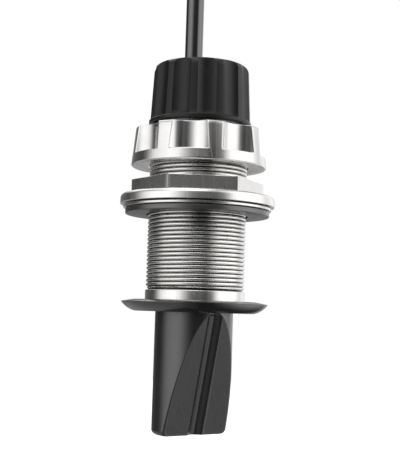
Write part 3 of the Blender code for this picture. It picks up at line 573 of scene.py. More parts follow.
connectorValues = {
    "start": 163.5 * mm,
    "bootRadius": 6.4 * mm,
    "bootTop": 177.5 * mm,
    "bootFoot": 0.8 * mm,
    "bootStep": 1.6 * mm,              # from the shoulder in to the boot's widest ring
    "bootRings": 5,
    "bootGroove": 0.7 * mm,
    "grooveShares": (0.6, 0.7, 0.95),  # of a ring's pitch, where its groove starts, is deep and ends
    "shellRadius": 8.6 * mm,
    "shellTop": 199.5 * mm,
    "shoulder": 1.4 * mm,
    "wall": 1.5 * mm,
    "socketDepth": 11.0 * mm,
    "edge": 0.4 * mm,
    "ringGap": 0.4 * mm,
    "ringThickness": 2.2 * mm,
    "ringLow": 179.2 * mm,
    "ringHigh": 192.2 * mm,
    "ringEdge": 0.8 * mm,
    "gripCount": 16,
    "gripColumns": 10,
    "gripDepth": 0.6 * mm,
    "gripStart": 1.5 * mm,
    "gripFull": 2.2 * mm,
    "gripTopShare": 0.3,
}


def makeConnectorShell(s):
    edge, top, radius = s["edge"], s["shellTop"], s["shellRadius"]
    socket, wide = radius - s["wall"], radius + s["shoulder"]
    floor, collar = top - s["socketDepth"], s["bootTop"] + s["shoulder"]
    profile = [(0.0, floor), (socket, floor), (socket, top - edge), (socket + edge, top)]
    profile += [(radius - edge, top), (radius, top - edge), (radius, collar), (wide - edge, collar)]
    profile += [(wide, collar - edge), (wide, s["bootTop"] - s["shoulder"])]
    low, high = s["start"] + s["bootFoot"], s["bootTop"] - 2.0 * s["shoulder"]
    pitch, widest = (high - low) / s["bootRings"], wide - s["bootStep"]
    for k in range(s["bootRings"]):
        ringTop = high - k * pitch
        ringRadius = widest + (s["bootRadius"] - widest) * k / s["bootRings"]
        start, deep, end = (ringTop - share * pitch for share in s["grooveShares"])
        groove = ringRadius - s["bootGroove"]
        profile += [(ringRadius, ringTop), (ringRadius, start), (groove, deep), (groove, end)]
    profile += [(s["bootRadius"] - s["bootFoot"], s["start"]), (0.0, s["start"])]
    shell = turned("connectorShell", profile, steps=96, loop=False, centre=(cableValues["x"], 0.0))
    return dress(shell, "insertPlastic", "insert", ["connector_shell"])


def makeCouplingRing(s):
    inner = s["shellRadius"] + s["ringGap"]
    outer = inner + s["ringThickness"]
    low, high, edge = s["ringLow"], s["ringHigh"], s["ringEdge"]
    columns, half = s["gripColumns"], math.pi / s["gripCount"]
    levels = [(inner, low, 0.0), (outer - edge, low, 0.0), (outer, low + edge, 0.0)]   # radius, height, grip
    levels += [(outer, low + s["gripStart"], 0.0), (outer, low + s["gripFull"], 1.0)]
    levels += [(outer, high - edge, 1.0), (outer - edge, high, s["gripTopShare"]), (inner, high, 0.0)]
    rows = []
    for radius, height, cut in levels:
        row = []
        for k in range(columns + 1):
            angle = half * (2.0 * k / columns - 1.0)
            dip = s["gripDepth"] * cut * max(0.0, math.cos(angle / half * math.pi / 2.0)) ** 2
            row.append(((radius - dip) * math.cos(angle), (radius - dip) * math.sin(angle), height))
        rows.append(row)
    gripRing = skin("couplingRing", rows, loopRows=True, loopColumns=False)
    copiesOf(gripRing, s["gripCount"], "capPlastic", centre=(cableValues["x"], 0.0, 0.0))
    return dress(gripRing, "capPlastic", "coupling", ["coupling_ring"])


connectorShell = makeConnectorShell(connectorValues)
couplingRing = makeCouplingRing(connectorValues)
print("cable and connector made")


# Hull flange

flangeValues = {
    "radius": 37.8 * mm,
    "landRadius": 31.5 * mm,
    "rimDrop": 1.1 * mm,
    "rimEdge": 0.35 * mm,
    "baseRadius": 30.8 * mm,
    "thickness": 6.05 * mm,
    "bellyOut": 4.3 * mm,
    "bellyUp": 1.1 * mm,
    "socketRadius": 24.3 * mm,
    "pocketRadius": 26.0 * mm,
    "pocket": 0.6 * mm,
    "boreRadius": 20.5 * mm,
    "lip": 1.4 * mm,
    "mouthRound": 0.6 * mm,
    "landEdge": (0.4 * mm, 0.04 * mm),  # out and down, where the land turns into the slope
    "rimTop": (0.12 * mm, 0.1 * mm),   # in and down, where the slope turns into the rim
    "bellySteps": 16,
    "steps": 192,
    "sharpAngle": 30.0,
}


def makeFlange(s):
    tip = (s["radius"], -s["rimDrop"] - s["rimEdge"])
    base = (s["baseRadius"], -s["thickness"])
    belly = (s["baseRadius"] + s["bellyOut"], -s["thickness"] + s["bellyUp"])
    profile = [(s["socketRadius"], -s["pocket"]), (s["pocketRadius"], -s["pocket"]), (s["pocketRadius"], 0.0)]
    profile += [(s["landRadius"], 0.0), (s["landRadius"] + s["landEdge"][0], -s["landEdge"][1])]
    profile += [(s["radius"] - s["rimTop"][0], -s["rimDrop"]), (s["radius"], -s["rimDrop"] - s["rimTop"][1])]
    for k in range(s["bellySteps"] + 1):
        share = k / s["bellySteps"]
        weights = ((1 - share) ** 2, 2 * share * (1 - share), share**2)
        profile.append(tuple(sum(w * p[i] for w, p in zip(weights, (tip, belly, base))) for i in (0, 1)))
    mouth, lip = s["mouthRound"], s["lip"] - s["thickness"]
    profile += corner((s["boreRadius"] + mouth, mouth - s["thickness"]), mouth, 270, 180)
    profile += [(s["boreRadius"], lip), (s["socketRadius"], lip)]
    flange = turned("hullFlange", profile, steps=s["steps"])
    return dress(flange, "flangePlastic", "housing", ["hull_flange"], s["sharpAngle"])


makeFlange(flangeValues)


# Threaded sleeve

sleeveValues = {
    "threadRadius": 25.4 * mm,
    "threadDepth": 1.15 * mm,
    "pitch": 2.1167 * mm,
    "top": 81.5 * mm,
    "boreRadius": 20.5 * mm,
    "spigotRadius": 24.0 * mm,
    "spigotBottom": -4.0 * mm,
    "collarRadius": 25.7 * mm,
    "collarBottom": -0.3 * mm,
    "collarTop": 5.0 * mm,
    "collarEdge": 0.5 * mm,
    "reliefHeight": 0.45 * mm,
    "runOut": 0.9 * mm,
    "crestFlatness": 3.0,
    "turnSteps": 96,
    "rowsPerPitch": 12,
    "boreChamfer": 0.9 * mm,
    "sharpAngle": 28.0,
}


def makeSleeve(s):
    root = s["threadRadius"] - s["threadDepth"]
    low, high = s["collarTop"] + s["reliefHeight"], s["top"]
    thread = threadSkin("threadedSleeve", {
        "Root Radius": root, "Depth": s["threadDepth"], "Pitch": s["pitch"], "Low": low, "High": high,
        "Run Out": s["runOut"], "Turn Steps": s["turnSteps"], "Rows Per Pitch": s["rowsPerPitch"],
        "Crest Flatness": s["crestFlatness"],
    }, "threadSteel")
    edge, chamfer = s["collarEdge"], s["boreChamfer"]
    profile = [(root, low), (root, s["collarTop"]), (s["collarRadius"] - edge, s["collarTop"])]
    profile += corner((s["collarRadius"] - edge, s["collarTop"] - edge), edge, 90, 0, steps=4)[1:]
    profile += [(s["collarRadius"], s["collarBottom"]), (s["spigotRadius"], s["collarBottom"])]
    profile += [(s["spigotRadius"], s["spigotBottom"]), (s["boreRadius"], s["spigotBottom"])]
    profile += [(s["boreRadius"], high - chamfer), (s["boreRadius"] + chamfer, high), (root, high)]
    body = turned("sleeveBody", profile, steps=s["turnSteps"], loop=False)
    joinSkins(thread, body)
    return dress(thread, "threadSteel", "housing", ["threaded_sleeve"], s["sharpAngle"])


makeSleeve(sleeveValues)
print("flange and sleeve made")


# Washers

washerValues = {
    "rubber": dict(low=43.8 * mm, high=46.7 * mm, bore=26.4 * mm, radius=37.4 * mm, edge=0.5 * mm),
    "slip": dict(low=46.85 * mm, high=48.2 * mm, bore=26.0 * mm, radius=38.5 * mm, edge=0.3 * mm),
    "steps": 160,
}


def makeWashers(s):
    rubber = turned("rubberWasher", roundedBand(s["rubber"]), s["steps"])
    dress(rubber, "greyRubber", "washers", ["rubber_washer"])
    slip = turned("slipWasher", roundedBand(s["slip"]), s["steps"])
    dress(slip, "washerSteel", "washers", ["slip_washer"])


makeWashers(washerValues)


# Hull nut

hullNutValues = {
    "bottom": 48.8 * mm,
    "flangeTop": 54.05 * mm,
    "top": 61.7 * mm,
    "flangeRadius": 40.1 * mm,
    "flangeRound": 2.2 * mm,
    "undercut": 0.25 * mm,
    "sides": 6,
    "cornerRadius": 34.8 * mm,
    "cornerCut": 0.25 * mm,            # flattens the hexagon's corners
    "cornerAzimuth": 34.5,
    "bore": 25.7 * mm,
    "boreChamfer": 0.8 * mm,
    "filletFoot": 0.4 * mm,
    "topChamfer": 0.3 * mm,
    "margin": 0.12 * mm,               # keeps the faces flat in the shading
    "columns": 28,
    "roundSteps": 8,
    "footSteps": 4,
    "sharpAngle": 26.0,
}


def makeHullNut(s):
    side = 360.0 / s["sides"]
    flat = s["cornerRadius"] * math.cos(math.radians(side / 2))
    widest = s["cornerRadius"] - s["cornerCut"]
    start = math.radians(s["cornerAzimuth"] - 90.0 - side / 2)

    def row(height, radiusAt):
        # One side's share of a ring round the nut
        points = []
        for k in range(s["columns"] + 1):
            phi = math.radians(side * k / s["columns"] - side / 2)
            radius = radiusAt(phi)
            points.append((radius * math.cos(phi + start), radius * math.sin(phi + start), height))
        return points

    def circle(radius, height):
        return row(height, lambda phi: radius)

    def hexagon(inset, height):
        return row(height, lambda phi: min(flat / math.cos(phi), widest) - inset)

    low, top, rim = s["bottom"], s["top"], s["flangeRadius"]
    e, chamfer, foot = s["undercut"], s["boreChamfer"], s["filletFoot"]
    rows = [circle(s["bore"] + chamfer, low), circle(rim - e, low), circle(rim, low + e)]
    rounding = (rim - s["flangeRound"], s["flangeTop"] - s["flangeRound"])
    rows += [circle(r, z) for r, z in corner(rounding, s["flangeRound"], 0, 90, s["roundSteps"])]
    for k in range(s["footSteps"] + 1):
        turn = math.radians(90.0 * k / s["footSteps"])
        rows.append(hexagon(-foot * (1 - math.sin(turn)), s["flangeTop"] + foot * (1 - math.cos(turn))))
    edge = top - s["topChamfer"]
    rows += [hexagon(0.0, s["flangeTop"] + foot + s["margin"]), hexagon(0.0, edge - s["margin"])]
    rows += [hexagon(0.0, edge), hexagon(s["topChamfer"] / 2, top)]
    rows += [circle(s["bore"] + chamfer, top), circle(s["bore"], top - chamfer)]
    rows.append(circle(s["bore"], low + chamfer))
    nut = skin("hullNut", rows, loopRows=True, loopColumns=False)
    copiesOf(nut, s["sides"], "nutSteel")
    return dress(nut, "nutSteel", "nut", ["hull_nut"], s["sharpAngle"])


makeHullNut(hullNutValues)
print("washers and hull nut made")


# Rings with a row of scallops or flutes

leastAngle = 0.012                  # in radians: no rib and no cut is narrower
arcTrim = 0.12                      # crowds the points of a cut towards its edges, less when larger


def cutRow(outer, height, reach, tool, half, counts, cut=True):
    # One row of a sector: outer circle at both sides and, where cut, the tool's arc between
    ribCount, cutCount = counts
    edgeCos = (reach**2 + outer**2 - tool**2) / (2 * reach * outer)
    edgeAngle = math.acos(min(1.0, edgeCos)) if outer > reach - tool else 0.0
    edgeAngle = min(max(edgeAngle, leastAngle), half - leastAngle)
    angles = [-half + (half - edgeAngle) * k / ribCount for k in range(ribCount)]
    for k in range(cutCount + 1):
        place = math.cos(math.pi * (arcTrim + (1 - 2 * arcTrim) * k / cutCount)) / math.cos(math.pi * arcTrim)
        angles.append(-edgeAngle * place)
    angles += [edgeAngle + (half - edgeAngle) * (k + 1) / ribCount for k in range(ribCount)]
    points = []
    for angle in angles:
        radius = outer
        room = tool**2 - (reach * math.sin(angle)) ** 2
        if cut and room > 0 and abs(angle) <= edgeAngle + tiny:
            radius = min(outer, reach * math.cos(angle) - math.sqrt(room))
        points.append((radius, angle, height))
    return points


def sectorSkin(name, rows, azimuth):
    # Rows of (radius, angle, height) about a sector's middle, which points to the azimuth
    middle = math.radians(azimuth - 90.0)
    placed = [[(r * math.cos(a + middle), r * math.sin(a + middle), z) for r, a, z in row] for row in rows]
    return skin(name, placed, loopRows=True, loopColumns=False)


# Castle nut

castleValues = {
    "bottom": 68.8 * mm,
    "top": 88.7 * mm,
    "baseRadius": 35.2 * mm,
    "topRadius": 33.2 * mm,
    "band": 5.6 * mm,
    "lip": 2.1 * mm,
    "edge": 0.6 * mm,
    "bore": 25.7 * mm,
    "neckBore": 20.2 * mm,
    "count": 8,
    "toolRadius": 13.5 * mm,
    "depth": 5.6 * mm,
    "fillet": 0.5 * mm,
    "azimuth": 36.1,
    "margin": 0.5 * mm,                # keeps the band's shading flat up to its edges
    "boreChamfer": 0.7 * mm,
    "neckChamfer": 0.4 * mm,
    "softEdge": 0.3 * mm,
    "softAngle": 40.0,
    "sharpAngle": 50.0,
    "counts": (5, 22),                 # steps on half a rib and across a scallop
    "filletSteps": 5,
    "wallRows": 10,
}


def makeCastleNut(s):
    half = math.pi / s["count"]
    reach = (s["baseRadius"] + s["topRadius"]) / 2 - s["depth"] + s["toolRadius"]
    slope = (s["topRadius"] - s["baseRadius"]) / (s["top"] - s["bottom"])
    shelf = s["bottom"] + s["band"]
    small = s["toolRadius"] - s["fillet"]

    def row(inset, height, tool, cut=True):
        outer = s["baseRadius"] + slope * (height - s["bottom"]) - inset
        return cutRow(outer, height, reach, tool, half, s["counts"], cut)

    def plain(radius, height, tool):
        return [(radius, angle, z) for _, angle, z in row(0.0, height, tool, False)]

    e, margin = s["edge"], s["margin"]
    rows = [plain(s["bore"] + s["boreChamfer"], s["bottom"], small), row(e, s["bottom"], small, False)]
    rows += [row(0.0, s["bottom"] + e, small, False), row(0.0, s["bottom"] + e + margin, small, False)]
    rows += [row(0.0, shelf - margin, small, False), row(0.0, shelf, small, False), row(0.0, shelf, small)]
    for k in range(1, s["filletSteps"] + 1):
        turn = math.radians(90.0 * k / s["filletSteps"])
        tool = small + s["fillet"] * math.sin(turn)
        rows.append(row(0.0, shelf + s["fillet"] * (1 - math.cos(turn)), tool))
    low, high = shelf + s["fillet"], s["top"] - e
    for k in range(1, s["wallRows"] + 1):
        rows.append(row(0.0, low + (high - low) * k / s["wallRows"], s["toolRadius"]))
    rows.append(row(e, s["top"], s["toolRadius"]))
    neck, lip = s["neckBore"], s["top"] - s["lip"]
    for radius, height in ((neck + s["neckChamfer"], s["top"]), (neck, s["top"] - s["neckChamfer"]),
                           (neck, lip), (s["bore"], lip)):
        rows.append(plain(radius, height, s["toolRadius"]))
    rows.append(plain(s["bore"], s["bottom"] + s["boreChamfer"], small))
    nut = sectorSkin("castleNut", rows, s["azimuth"])
    copiesOf(nut, s["count"], "castleSteel")
    softenEdges(nut, s["softEdge"], s["softAngle"])
    return dress(nut, "castleSteel", "castle", ["castle_nut"], s["sharpAngle"])


makeCastleNut(castleValues)
print("castle nut made")


# Fluted cap

capValues = {
    "bottom": 91.1 * mm,
    "top": 122.6 * mm,
    "baseRadius": 26.2 * mm,
    "topRadius": 24.95 * mm,
    "round": 3.6 * mm,
    "rimRadius": 26.7 * mm,
    "rimHeight": 2.2 * mm,
    "rimEdge": 0.5 * mm,
    "holeRadius": 10.5 * mm,
    "ceiling": 117.3 * mm,
    "boreRadius": 20.2 * mm,
    "recessRadius": 24.4 * mm,
    "recessTop": 93.7 * mm,
    "count": 12,
    "azimuth": 6.9,
    "toolRadius": 9.0 * mm,
    "depth": 1.9 * mm,
    "rimChamfer": 0.3 * mm,
    "holeEdge": 0.5 * mm,
    "softEdge": 0.3 * mm,
    "softAngle": 30.0,
    "sharpAngle": 50.0,
    "counts": (4, 16),                 # steps on half a rib and across a flute
    "wallRows": 12,
    "roundSteps": 8,
}


def makeCap(s):
    half = math.pi / s["count"]
    shelf = s["bottom"] + s["rimHeight"]
    wallTop = s["top"] - s["round"]
    slope = (s["topRadius"] - s["baseRadius"]) / (wallTop - shelf)

    def reachAt(height):
        return s["baseRadius"] + slope * (height - shelf) - s["depth"] + s["toolRadius"]

    def row(outer, height, cut=True):
        return cutRow(outer, height, reachAt(max(height, shelf)), s["toolRadius"], half, s["counts"], cut)

    def plain(radius, height, wide):
        return [(radius, angle, z) for _, angle, z in row(wide, height, False)]

    base, rim, chamfer = s["baseRadius"], s["rimRadius"], s["rimChamfer"]
    rows = [plain(s["recessRadius"], s["bottom"], base), plain(rim - chamfer, s["bottom"], base)]
    rows += [plain(rim, s["bottom"] + chamfer, base), plain(rim, shelf - s["rimEdge"], base)]
    rows += [plain(base, shelf, base), row(base, shelf)]
    for k in range(1, s["wallRows"] + 1):
        height = shelf + (wallTop - shelf) * k / s["wallRows"]
        rows.append(row(base + slope * (height - shelf), height))
    top = s["topRadius"] - s["round"]
    for radius, height in corner((top, wallTop), s["round"], 0, 90, s["roundSteps"])[1:]:
        rows.append(row(radius, height))
    hole, edge = s["holeRadius"], s["holeEdge"]
    rows += [plain(hole + edge, s["top"], top), plain(hole, s["top"] - edge, top)]
    rows += [plain(hole, s["ceiling"], base), plain(s["boreRadius"], s["ceiling"], base)]
    rows += [plain(s["boreRadius"], s["recessTop"], base), plain(s["recessRadius"], s["recessTop"], base)]
    cap = sectorSkin("flutedCap", rows, s["azimuth"])
    copiesOf(cap, s["count"], "capPlastic")
    softenEdges(cap, s["softEdge"], s["softAngle"])
    return dress(cap, "capPlastic", "cap", ["fluted_cap"], s["sharpAngle"])


makeCap(capValues)
print("fluted cap made")


# Insert with its slanted facet and groove

insertValues = {
    "radius": 20.1 * mm,
    "bottom": -68.1 * mm,
    "fillet": 2.4 * mm,
    "facetTop": -5.7 * mm,
    "facetAzimuth": 33.6,
    "bottomOffset": 4.1 * mm,          # from the axis to the facet, at the bottom
    "rightRound": 3.0 * mm,            # of the facet's edges, right and left as the photograph shows them
    "leftRound": 1.7 * mm,
    "topRoundShare": 0.25,             # what is left of those rounds at the facet's top
    "roundOfChord": 0.3,
    "grooveWidth": 8.7 * mm,
    "grooveDepth": 2.5 * mm,
    "grooveLimits": (0.25, 0.9),       # of the facet's half width
    "leastGroove": 0.02 * mm,
    "deepestShare": 0.10,              # where the groove's ramp starts, right of its middle
    "rampCurve": 0.22,                 # softens both ends of the ramp
    "faceShrink": 0.12,                # how much of the bottom's round the facet takes
    "facetMargin": 0.3 * mm,
    "shoulderLow": 83.6 * mm,
    "shoulderHigh": 86.0 * mm,
    "shoulderRadius": 24.0 * mm,
    "neckRadius": 19.8 * mm,
    "neckTop": 113.2 * mm,
    "neckPitch": 2.0 * mm,
    "neckThreadDepth": 0.8 * mm,
    "rootShares": (0.45, 0.55),        # of the pitch, where the neck's thread is at its deepest
    "threadStart": 2.0 * mm,           # above the shoulder
    "threadEnd": 1.0 * mm,             # below the neck's top
    "bore": 15.0 * mm,
    "boreFloor": 101.2 * mm,
    "backSteps": 90,
    "sideSteps": 6,
    "faceSteps": 6,
    "grooveSteps": 16,
    "filletSteps": 6,
    "slices": 170,
    "crowding": 1.6,
    "sharpAngle": 30.0,
}


def insertSection(s, height, shrink):
    # Outline of the insert at a height, drawn in by shrink, from the facet's right edge round the back
    tangent = (s["radius"] - s["bottomOffset"]) / (s["facetTop"] - s["bottom"])
    lean = math.atan(tangent)
    radius = s["radius"] - shrink
    inset = s["faceShrink"] * shrink
    offset = min(s["radius"] - (s["facetTop"] - height) * tangent, s["radius"]) - inset
    share = min(1.0, max(0.0, (s["facetTop"] - height) / (s["facetTop"] - s["bottom"])))
    chord = math.sqrt(max(0.0, radius**2 - offset**2))
    roundShare = s["topRoundShare"] + (1 - s["topRoundShare"]) * share
    mostRound = s["roundOfChord"] * chord + tiny
    rounds = [min(s[key] * roundShare, mostRound) for key in ("rightRound", "leftRound")]
    right, left = (math.sqrt(max(0.0, (radius - r) ** 2 - (offset - r) ** 2)) for r in rounds)
    rightRound, leftRound = rounds

    toolRadius = s["grooveWidth"] ** 2 / (8 * s["grooveDepth"]) + s["grooveDepth"] / 2
    centreDepth = toolRadius - s["grooveDepth"]          # the tool's axis stands this far out of the facet
    ballHeight = s["facetTop"] - centreDepth * math.sin(lean)
    ballOffset = s["radius"] + centreDepth * math.cos(lean)
    if height < ballHeight - toolRadius * math.sin(lean):
        axisOffset = offset + inset + centreDepth / math.cos(lean)
        deep, wide = toolRadius / math.cos(lean) + inset, toolRadius + inset
    else:
        axisOffset = ballOffset
        wide = math.sqrt(max(0.0, toolRadius**2 - (height - ballHeight) ** 2))
        deep = wide
    gap = axisOffset - offset
    grooveHalf = wide * math.sqrt(max(0.0, 1 - (gap / deep) ** 2)) if deep > 0 else 0.0
    real = grooveHalf > s["leastGroove"]
    least, most = (limit * min(right, left) for limit in s["grooveLimits"])
    grooveHalf = min(max(grooveHalf, least), most)
    deepest = s["deepestShare"] * grooveHalf

    def rounded(edge, r, angle):
        # A point on the round of one of the facet's edges
        return offset - r + r * math.cos(angle), edge + r * math.sin(angle)

    startAngle = math.atan2(right, offset - rightRound)
    endAngle = math.atan2(left, offset - leftRound)
    points = []
    for k in range(s["backSteps"] + 1):                  # round the back, from the right edge
        angle = startAngle + (tau - startAngle - endAngle) * k / s["backSteps"]
        points.append((radius * math.cos(angle), radius * math.sin(angle)))
    for k in range(1, s["sideSteps"] + 1):               # rounded left edge
        points.append(rounded(-left, leftRound, -endAngle * (1 - k / s["sideSteps"])))
    for k in range(1, s["faceSteps"] + 1):               # flat face left of the groove
        points.append((offset, -left + (left - grooveHalf) * k / s["faceSteps"]))
    for k in range(1, s["grooveSteps"]):                 # groove: round on its left, a ramp on its right
        place = -math.cos(math.pi * k / s["grooveSteps"])
        across = deepest + place * (grooveHalf + deepest if place < 0 else grooveHalf - deepest)
        dip = offset
        if real:
            dip = min(offset, axisOffset - deep * math.sqrt(max(0.0, 1 - (min(across, deepest) / wide) ** 2)))
            climb = max(0.0, place)
            dip = offset - (offset - dip) * (1 - climb + s["rampCurve"] * math.sin(tau * climb) / tau)
        points.append((dip, across))
    for k in range(s["faceSteps"]):                      # flat face right of the groove
        points.append((offset, grooveHalf + (right - grooveHalf) * k / s["faceSteps"]))
    for k in range(s["sideSteps"]):                      # rounded right edge
        points.append(rounded(right, rightRound, startAngle * k / s["sideSteps"]))
    return points


def makeInsert(s):
    middle = math.radians(s["facetAzimuth"] - 90.0)
    cosMiddle, sinMiddle = math.cos(middle), math.sin(middle)

    def placed(outline, height):
        return [(x * cosMiddle - y * sinMiddle, x * sinMiddle + y * cosMiddle, height) for x, y in outline]

    base = insertSection(s, s["bottom"], s["fillet"])
    meanX = sum(x for x, y in base) / len(base)
    rows = []
    for share in (0.0, 0.5):                             # the bottom, from its middle outwards
        rows.append(placed([(meanX + (x - meanX) * share, y * share) for x, y in base], s["bottom"]))
    for k in range(s["filletSteps"] + 1):
        turn = math.radians(90.0 * k / s["filletSteps"])
        height = s["bottom"] + s["fillet"] * (1 - math.cos(turn))
        rows.append(placed(insertSection(s, height, s["fillet"] * (1 - math.sin(turn))), height))
    low, high = s["bottom"] + s["fillet"], s["facetTop"]
    for k in range(1, s["slices"] + 1):                  # closer together at the groove's round end
        height = low + (high - low) * (1 - (1 - k / s["slices"]) ** s["crowding"])
        rows.append(placed(insertSection(s, height, 0.0), height))

    circle = [(x / math.hypot(x, y), y / math.hypot(x, y)) for x, y in insertSection(s, high, 0.0)]
    neck, root = s["neckRadius"], s["neckRadius"] - s["neckThreadDepth"]
    upper = [(s["radius"], high + s["facetMargin"]), (s["radius"], s["shoulderLow"])]
    upper += [(s["shoulderRadius"], s["shoulderLow"]), (s["shoulderRadius"], s["shoulderHigh"])]
    upper += [(neck, s["shoulderHigh"])]
    start, end = s["shoulderHigh"] + s["threadStart"], s["neckTop"] - s["threadEnd"]
    for k in range(int((end - start) / s["neckPitch"])):
        foot = start + k * s["neckPitch"]
        upper += [(neck, foot)] + [(root, foot + share * s["neckPitch"]) for share in s["rootShares"]]
    upper += [(neck, s["neckTop"]), (s["bore"], s["neckTop"])]
    upper += [(s["bore"], s["boreFloor"]), (0.0, s["boreFloor"])]
    for radius, height in upper:
        rows.append(placed([(x * radius, y * radius) for x, y in circle], height))
    insert = skin("insertBody", rows)
    return dress(insert, "insertPlastic", "insert", ["insert_body"], s["sharpAngle"])


makeInsert(insertValues)
print("insert made")


# Retaining collar and the cable's gland

collarValues = {
    "low": 89.0 * mm,
    "high": 93.4 * mm,
    "bore": 20.1 * mm,
    "radius": 24.0 * mm,
    "edge": 0.4 * mm,
}
glandValues = {
    "neckRadius": 10.1 * mm,
    "flangeRadius": 17.0 * mm,
    "flangeLow": 113.5 * mm,
    "flangeHigh": 115.2 * mm,
    "plugRadius": 14.7 * mm,
    "plugLow": 105.2 * mm,
    "top": 123.1 * mm,
    "neckEdge": 0.8 * mm,
    "passage": 4.95 * mm,
    "passageReach": 5.0 * mm,          # how far its tool stands out at both ends
}


def makeCollar(s):
    return dress(turned("retainingCollar", roundedBand(s)), "insertPlastic", "insert", ["retaining_collar"])


def makeGrommet(s):
    e = s["neckEdge"]
    profile = [(0.0, s["top"])]
    profile += corner((s["neckRadius"] - e, s["top"] - e), e, 90, 0)
    profile += [(s["neckRadius"], s["flangeHigh"]), (s["flangeRadius"], s["flangeHigh"])]
    profile += [(s["flangeRadius"], s["flangeLow"]), (s["plugRadius"], s["flangeLow"])]
    profile += [(s["plugRadius"], s["plugLow"]), (0.0, s["plugLow"])]
    grommet = turned("cableGrommet", profile, steps=96, loop=False)
    low, high = s["plugLow"] - s["passageReach"], s["top"] + s["passageReach"]
    tool = [(0.0, high), (s["passage"], high), (s["passage"], low), (0.0, low)]
    hole = turned("passageTool", tool, steps=64, loop=False, centre=(cableValues["x"], 0.0))
    cutAway(grommet, hole)
    return dress(grommet, "blackRubber", "insert", ["cable_grommet"])


makeCollar(collarValues)
makeGrommet(glandValues)


# Inner pieces keep their solids and take finer finishes

innerFinishes = {
    "lower_o_ring": "blackRubber",
    "upper_o_ring": "blackRubber",
    "shoulder_gasket": "blackRubber",
    "gland_thrust_ring": "washerSteel",
    "piezo_bar_left": "piezoCeramic",
    "piezo_bar_right": "piezoCeramic",
    "backing_block": "backingAbsorber",
    "circuit_board": "boardLaminate",
    "tuning_transformer": "ferriteCore",
    "temperature_sensor": "brassMetal",
    "potting_plug": "pottingCompound",
    "pin_insert": "brassMetal",
}
for node, finish in innerFinishes.items():
    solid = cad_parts[node]
    solid.data.materials.clear()
    solid.data.materials.append(materials[finish])
print("inner pieces finished")


# Floor, world and light

stageValues = {
    "floorHeight": -250 * mm,
    "floorSize": 6.0,
    "floorSteps": 64,
    "floorColor": 0.5,
    "floorGlow": 0.75,
    "strength": 3.0,
    # azimuth in degrees from the photograph's camera towards +X, and the light that comes from there
    "bands": [(-180, 0.14), (-142, 0.04), (-114, 0.02), (-104, 0.045), (-95, 0.16), (-84, 0.36), (-70, 0.46),
              (-48, 0.50), (-36, 0.42), (-24, 0.21), (-11, 0.06), (1, 0.015), (6, 0.03), (12, 0.045),
              (19, 0.015), (24, 0.012), (38, 0.05), (58, 0.50), (98, 0.56), (112, 0.40), (124, 0.28),
              (134, 0.38), (148, 0.40), (165, 0.26), (180, 0.14)],
    # above and below them the light goes by the side it comes from, -1 for -X and 1 for +X
    "highBands": [(-1, 0.12), (-0.72, 0.16), (-0.5, 0.50), (0.06, 0.62), (0.18, 0.40), (0.28, 0.19),
                  (0.42, 0.12), (0.56, 0.46), (1, 0.50)],
    "lowBands": [(-1, 0.14), (-0.28, 0.15), (-0.05, 0.05), (0.08, 0.015), (0.30, 0.02), (0.45, 0.12),
                 (0.60, 0.36), (0.78, 0.15), (1, 0.15)],
    # height of a direction, from -1 to 1, where one set of bands goes over into the next
    "highBlend": (0.36, 0.54),
    "lowBlend": (-0.16, -0.36),
}


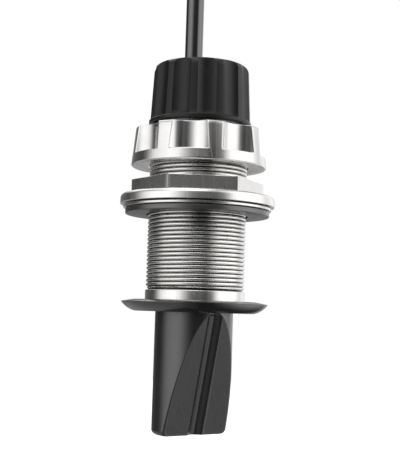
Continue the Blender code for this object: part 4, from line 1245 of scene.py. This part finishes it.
def makeFloor(s):
    model = bmesh.new()
    bmesh.ops.create_circle(model, cap_ends=True, segments=s["floorSteps"], radius=s["floorSize"] / 2)
    bmesh.ops.translate(model, verts=model.verts, vec=(0, 0, s["floorHeight"]))
    mesh = bpy.data.meshes.new("floor")
    model.to_mesh(mesh)
    model.free()
    floor = addObject("floor", mesh)
    material = bpy.data.materials.new("paleFloor")
    material.use_nodes = True
    material.node_tree.nodes.clear()
    t = Tree(material.node_tree)
    path = t.put("ShaderNodeLightPath").outputs
    level = s["floorColor"]
    matt = t.put("ShaderNodeBsdfDiffuse", {"Color": (level, level, level, 1.0)})
    glow = t.put("ShaderNodeEmission", {"Strength": t.times(path["Is Camera Ray"], s["floorGlow"])})
    both = t.put("ShaderNodeAddShader", {0: matt.outputs[0], 1: glow.outputs[0]})
    clear = t.put("ShaderNodeBsdfTransparent")           # gloss shows the studio below the object too
    seen = t.put("ShaderNodeMixShader", {0: path["Is Glossy Ray"], 1: both.outputs[0], 2: clear.outputs[0]})
    t.put("ShaderNodeOutputMaterial", {"Surface": seen.outputs[0]})
    mesh.materials.append(material)


def makeWorld(s):
    world = bpy.data.worlds.new("studio")
    bpy.context.scene.world = world
    world.use_nodes = True
    world.node_tree.nodes.clear()
    t = Tree(world.node_tree)
    axes = t.axesOf(t.put("ShaderNodeTexCoord").outputs["Generated"])
    angle = t.math("ARCTAN2", axes[0], t.times(axes[1], -1.0))
    share = t.plus(t.over(angle, tau), 0.5)

    def ramp(place, bands):
        node = t.put("ShaderNodeValToRGB", {0: place})
        node.color_ramp.interpolation = "EASE"
        stops = node.color_ramp.elements
        while len(stops) < len(bands):
            stops.new(0.5)
        for stop, (spot, level) in zip(stops, bands):
            stop.position = (spot / bands[-1][0] + 1) / 2
            stop.color = (level, level, level, 1.0)
        return node.outputs[0]

    def blend(span, tone, farTone):
        return t.mix(t.spread(axes[2], span, interpolation_type="SMOOTHSTEP"), tone, farTone)

    side = t.plus(t.times(axes[0], 0.5), 0.5)
    around = blend(s["highBlend"], ramp(share, s["bands"]), ramp(side, s["highBands"]))
    dome = blend(s["lowBlend"], around, ramp(side, s["lowBands"]))
    studio = t.put("ShaderNodeBackground", {"Color": dome, "Strength": s["strength"]})
    white = t.put("ShaderNodeBackground", {"Color": (1.0, 1.0, 1.0, 1.0), "Strength": 1.0})
    path = t.put("ShaderNodeLightPath").outputs
    pick = t.put("ShaderNodeMixShader", {0: path["Is Camera Ray"], 1: studio.outputs[0], 2: white.outputs[0]})
    t.put("ShaderNodeOutputWorld", {"Surface": pick.outputs[0]})


makeFloor(stageValues)
makeWorld(stageValues)
bpy.context.scene.view_settings.view_transform = "Standard"
print("floor and light set")
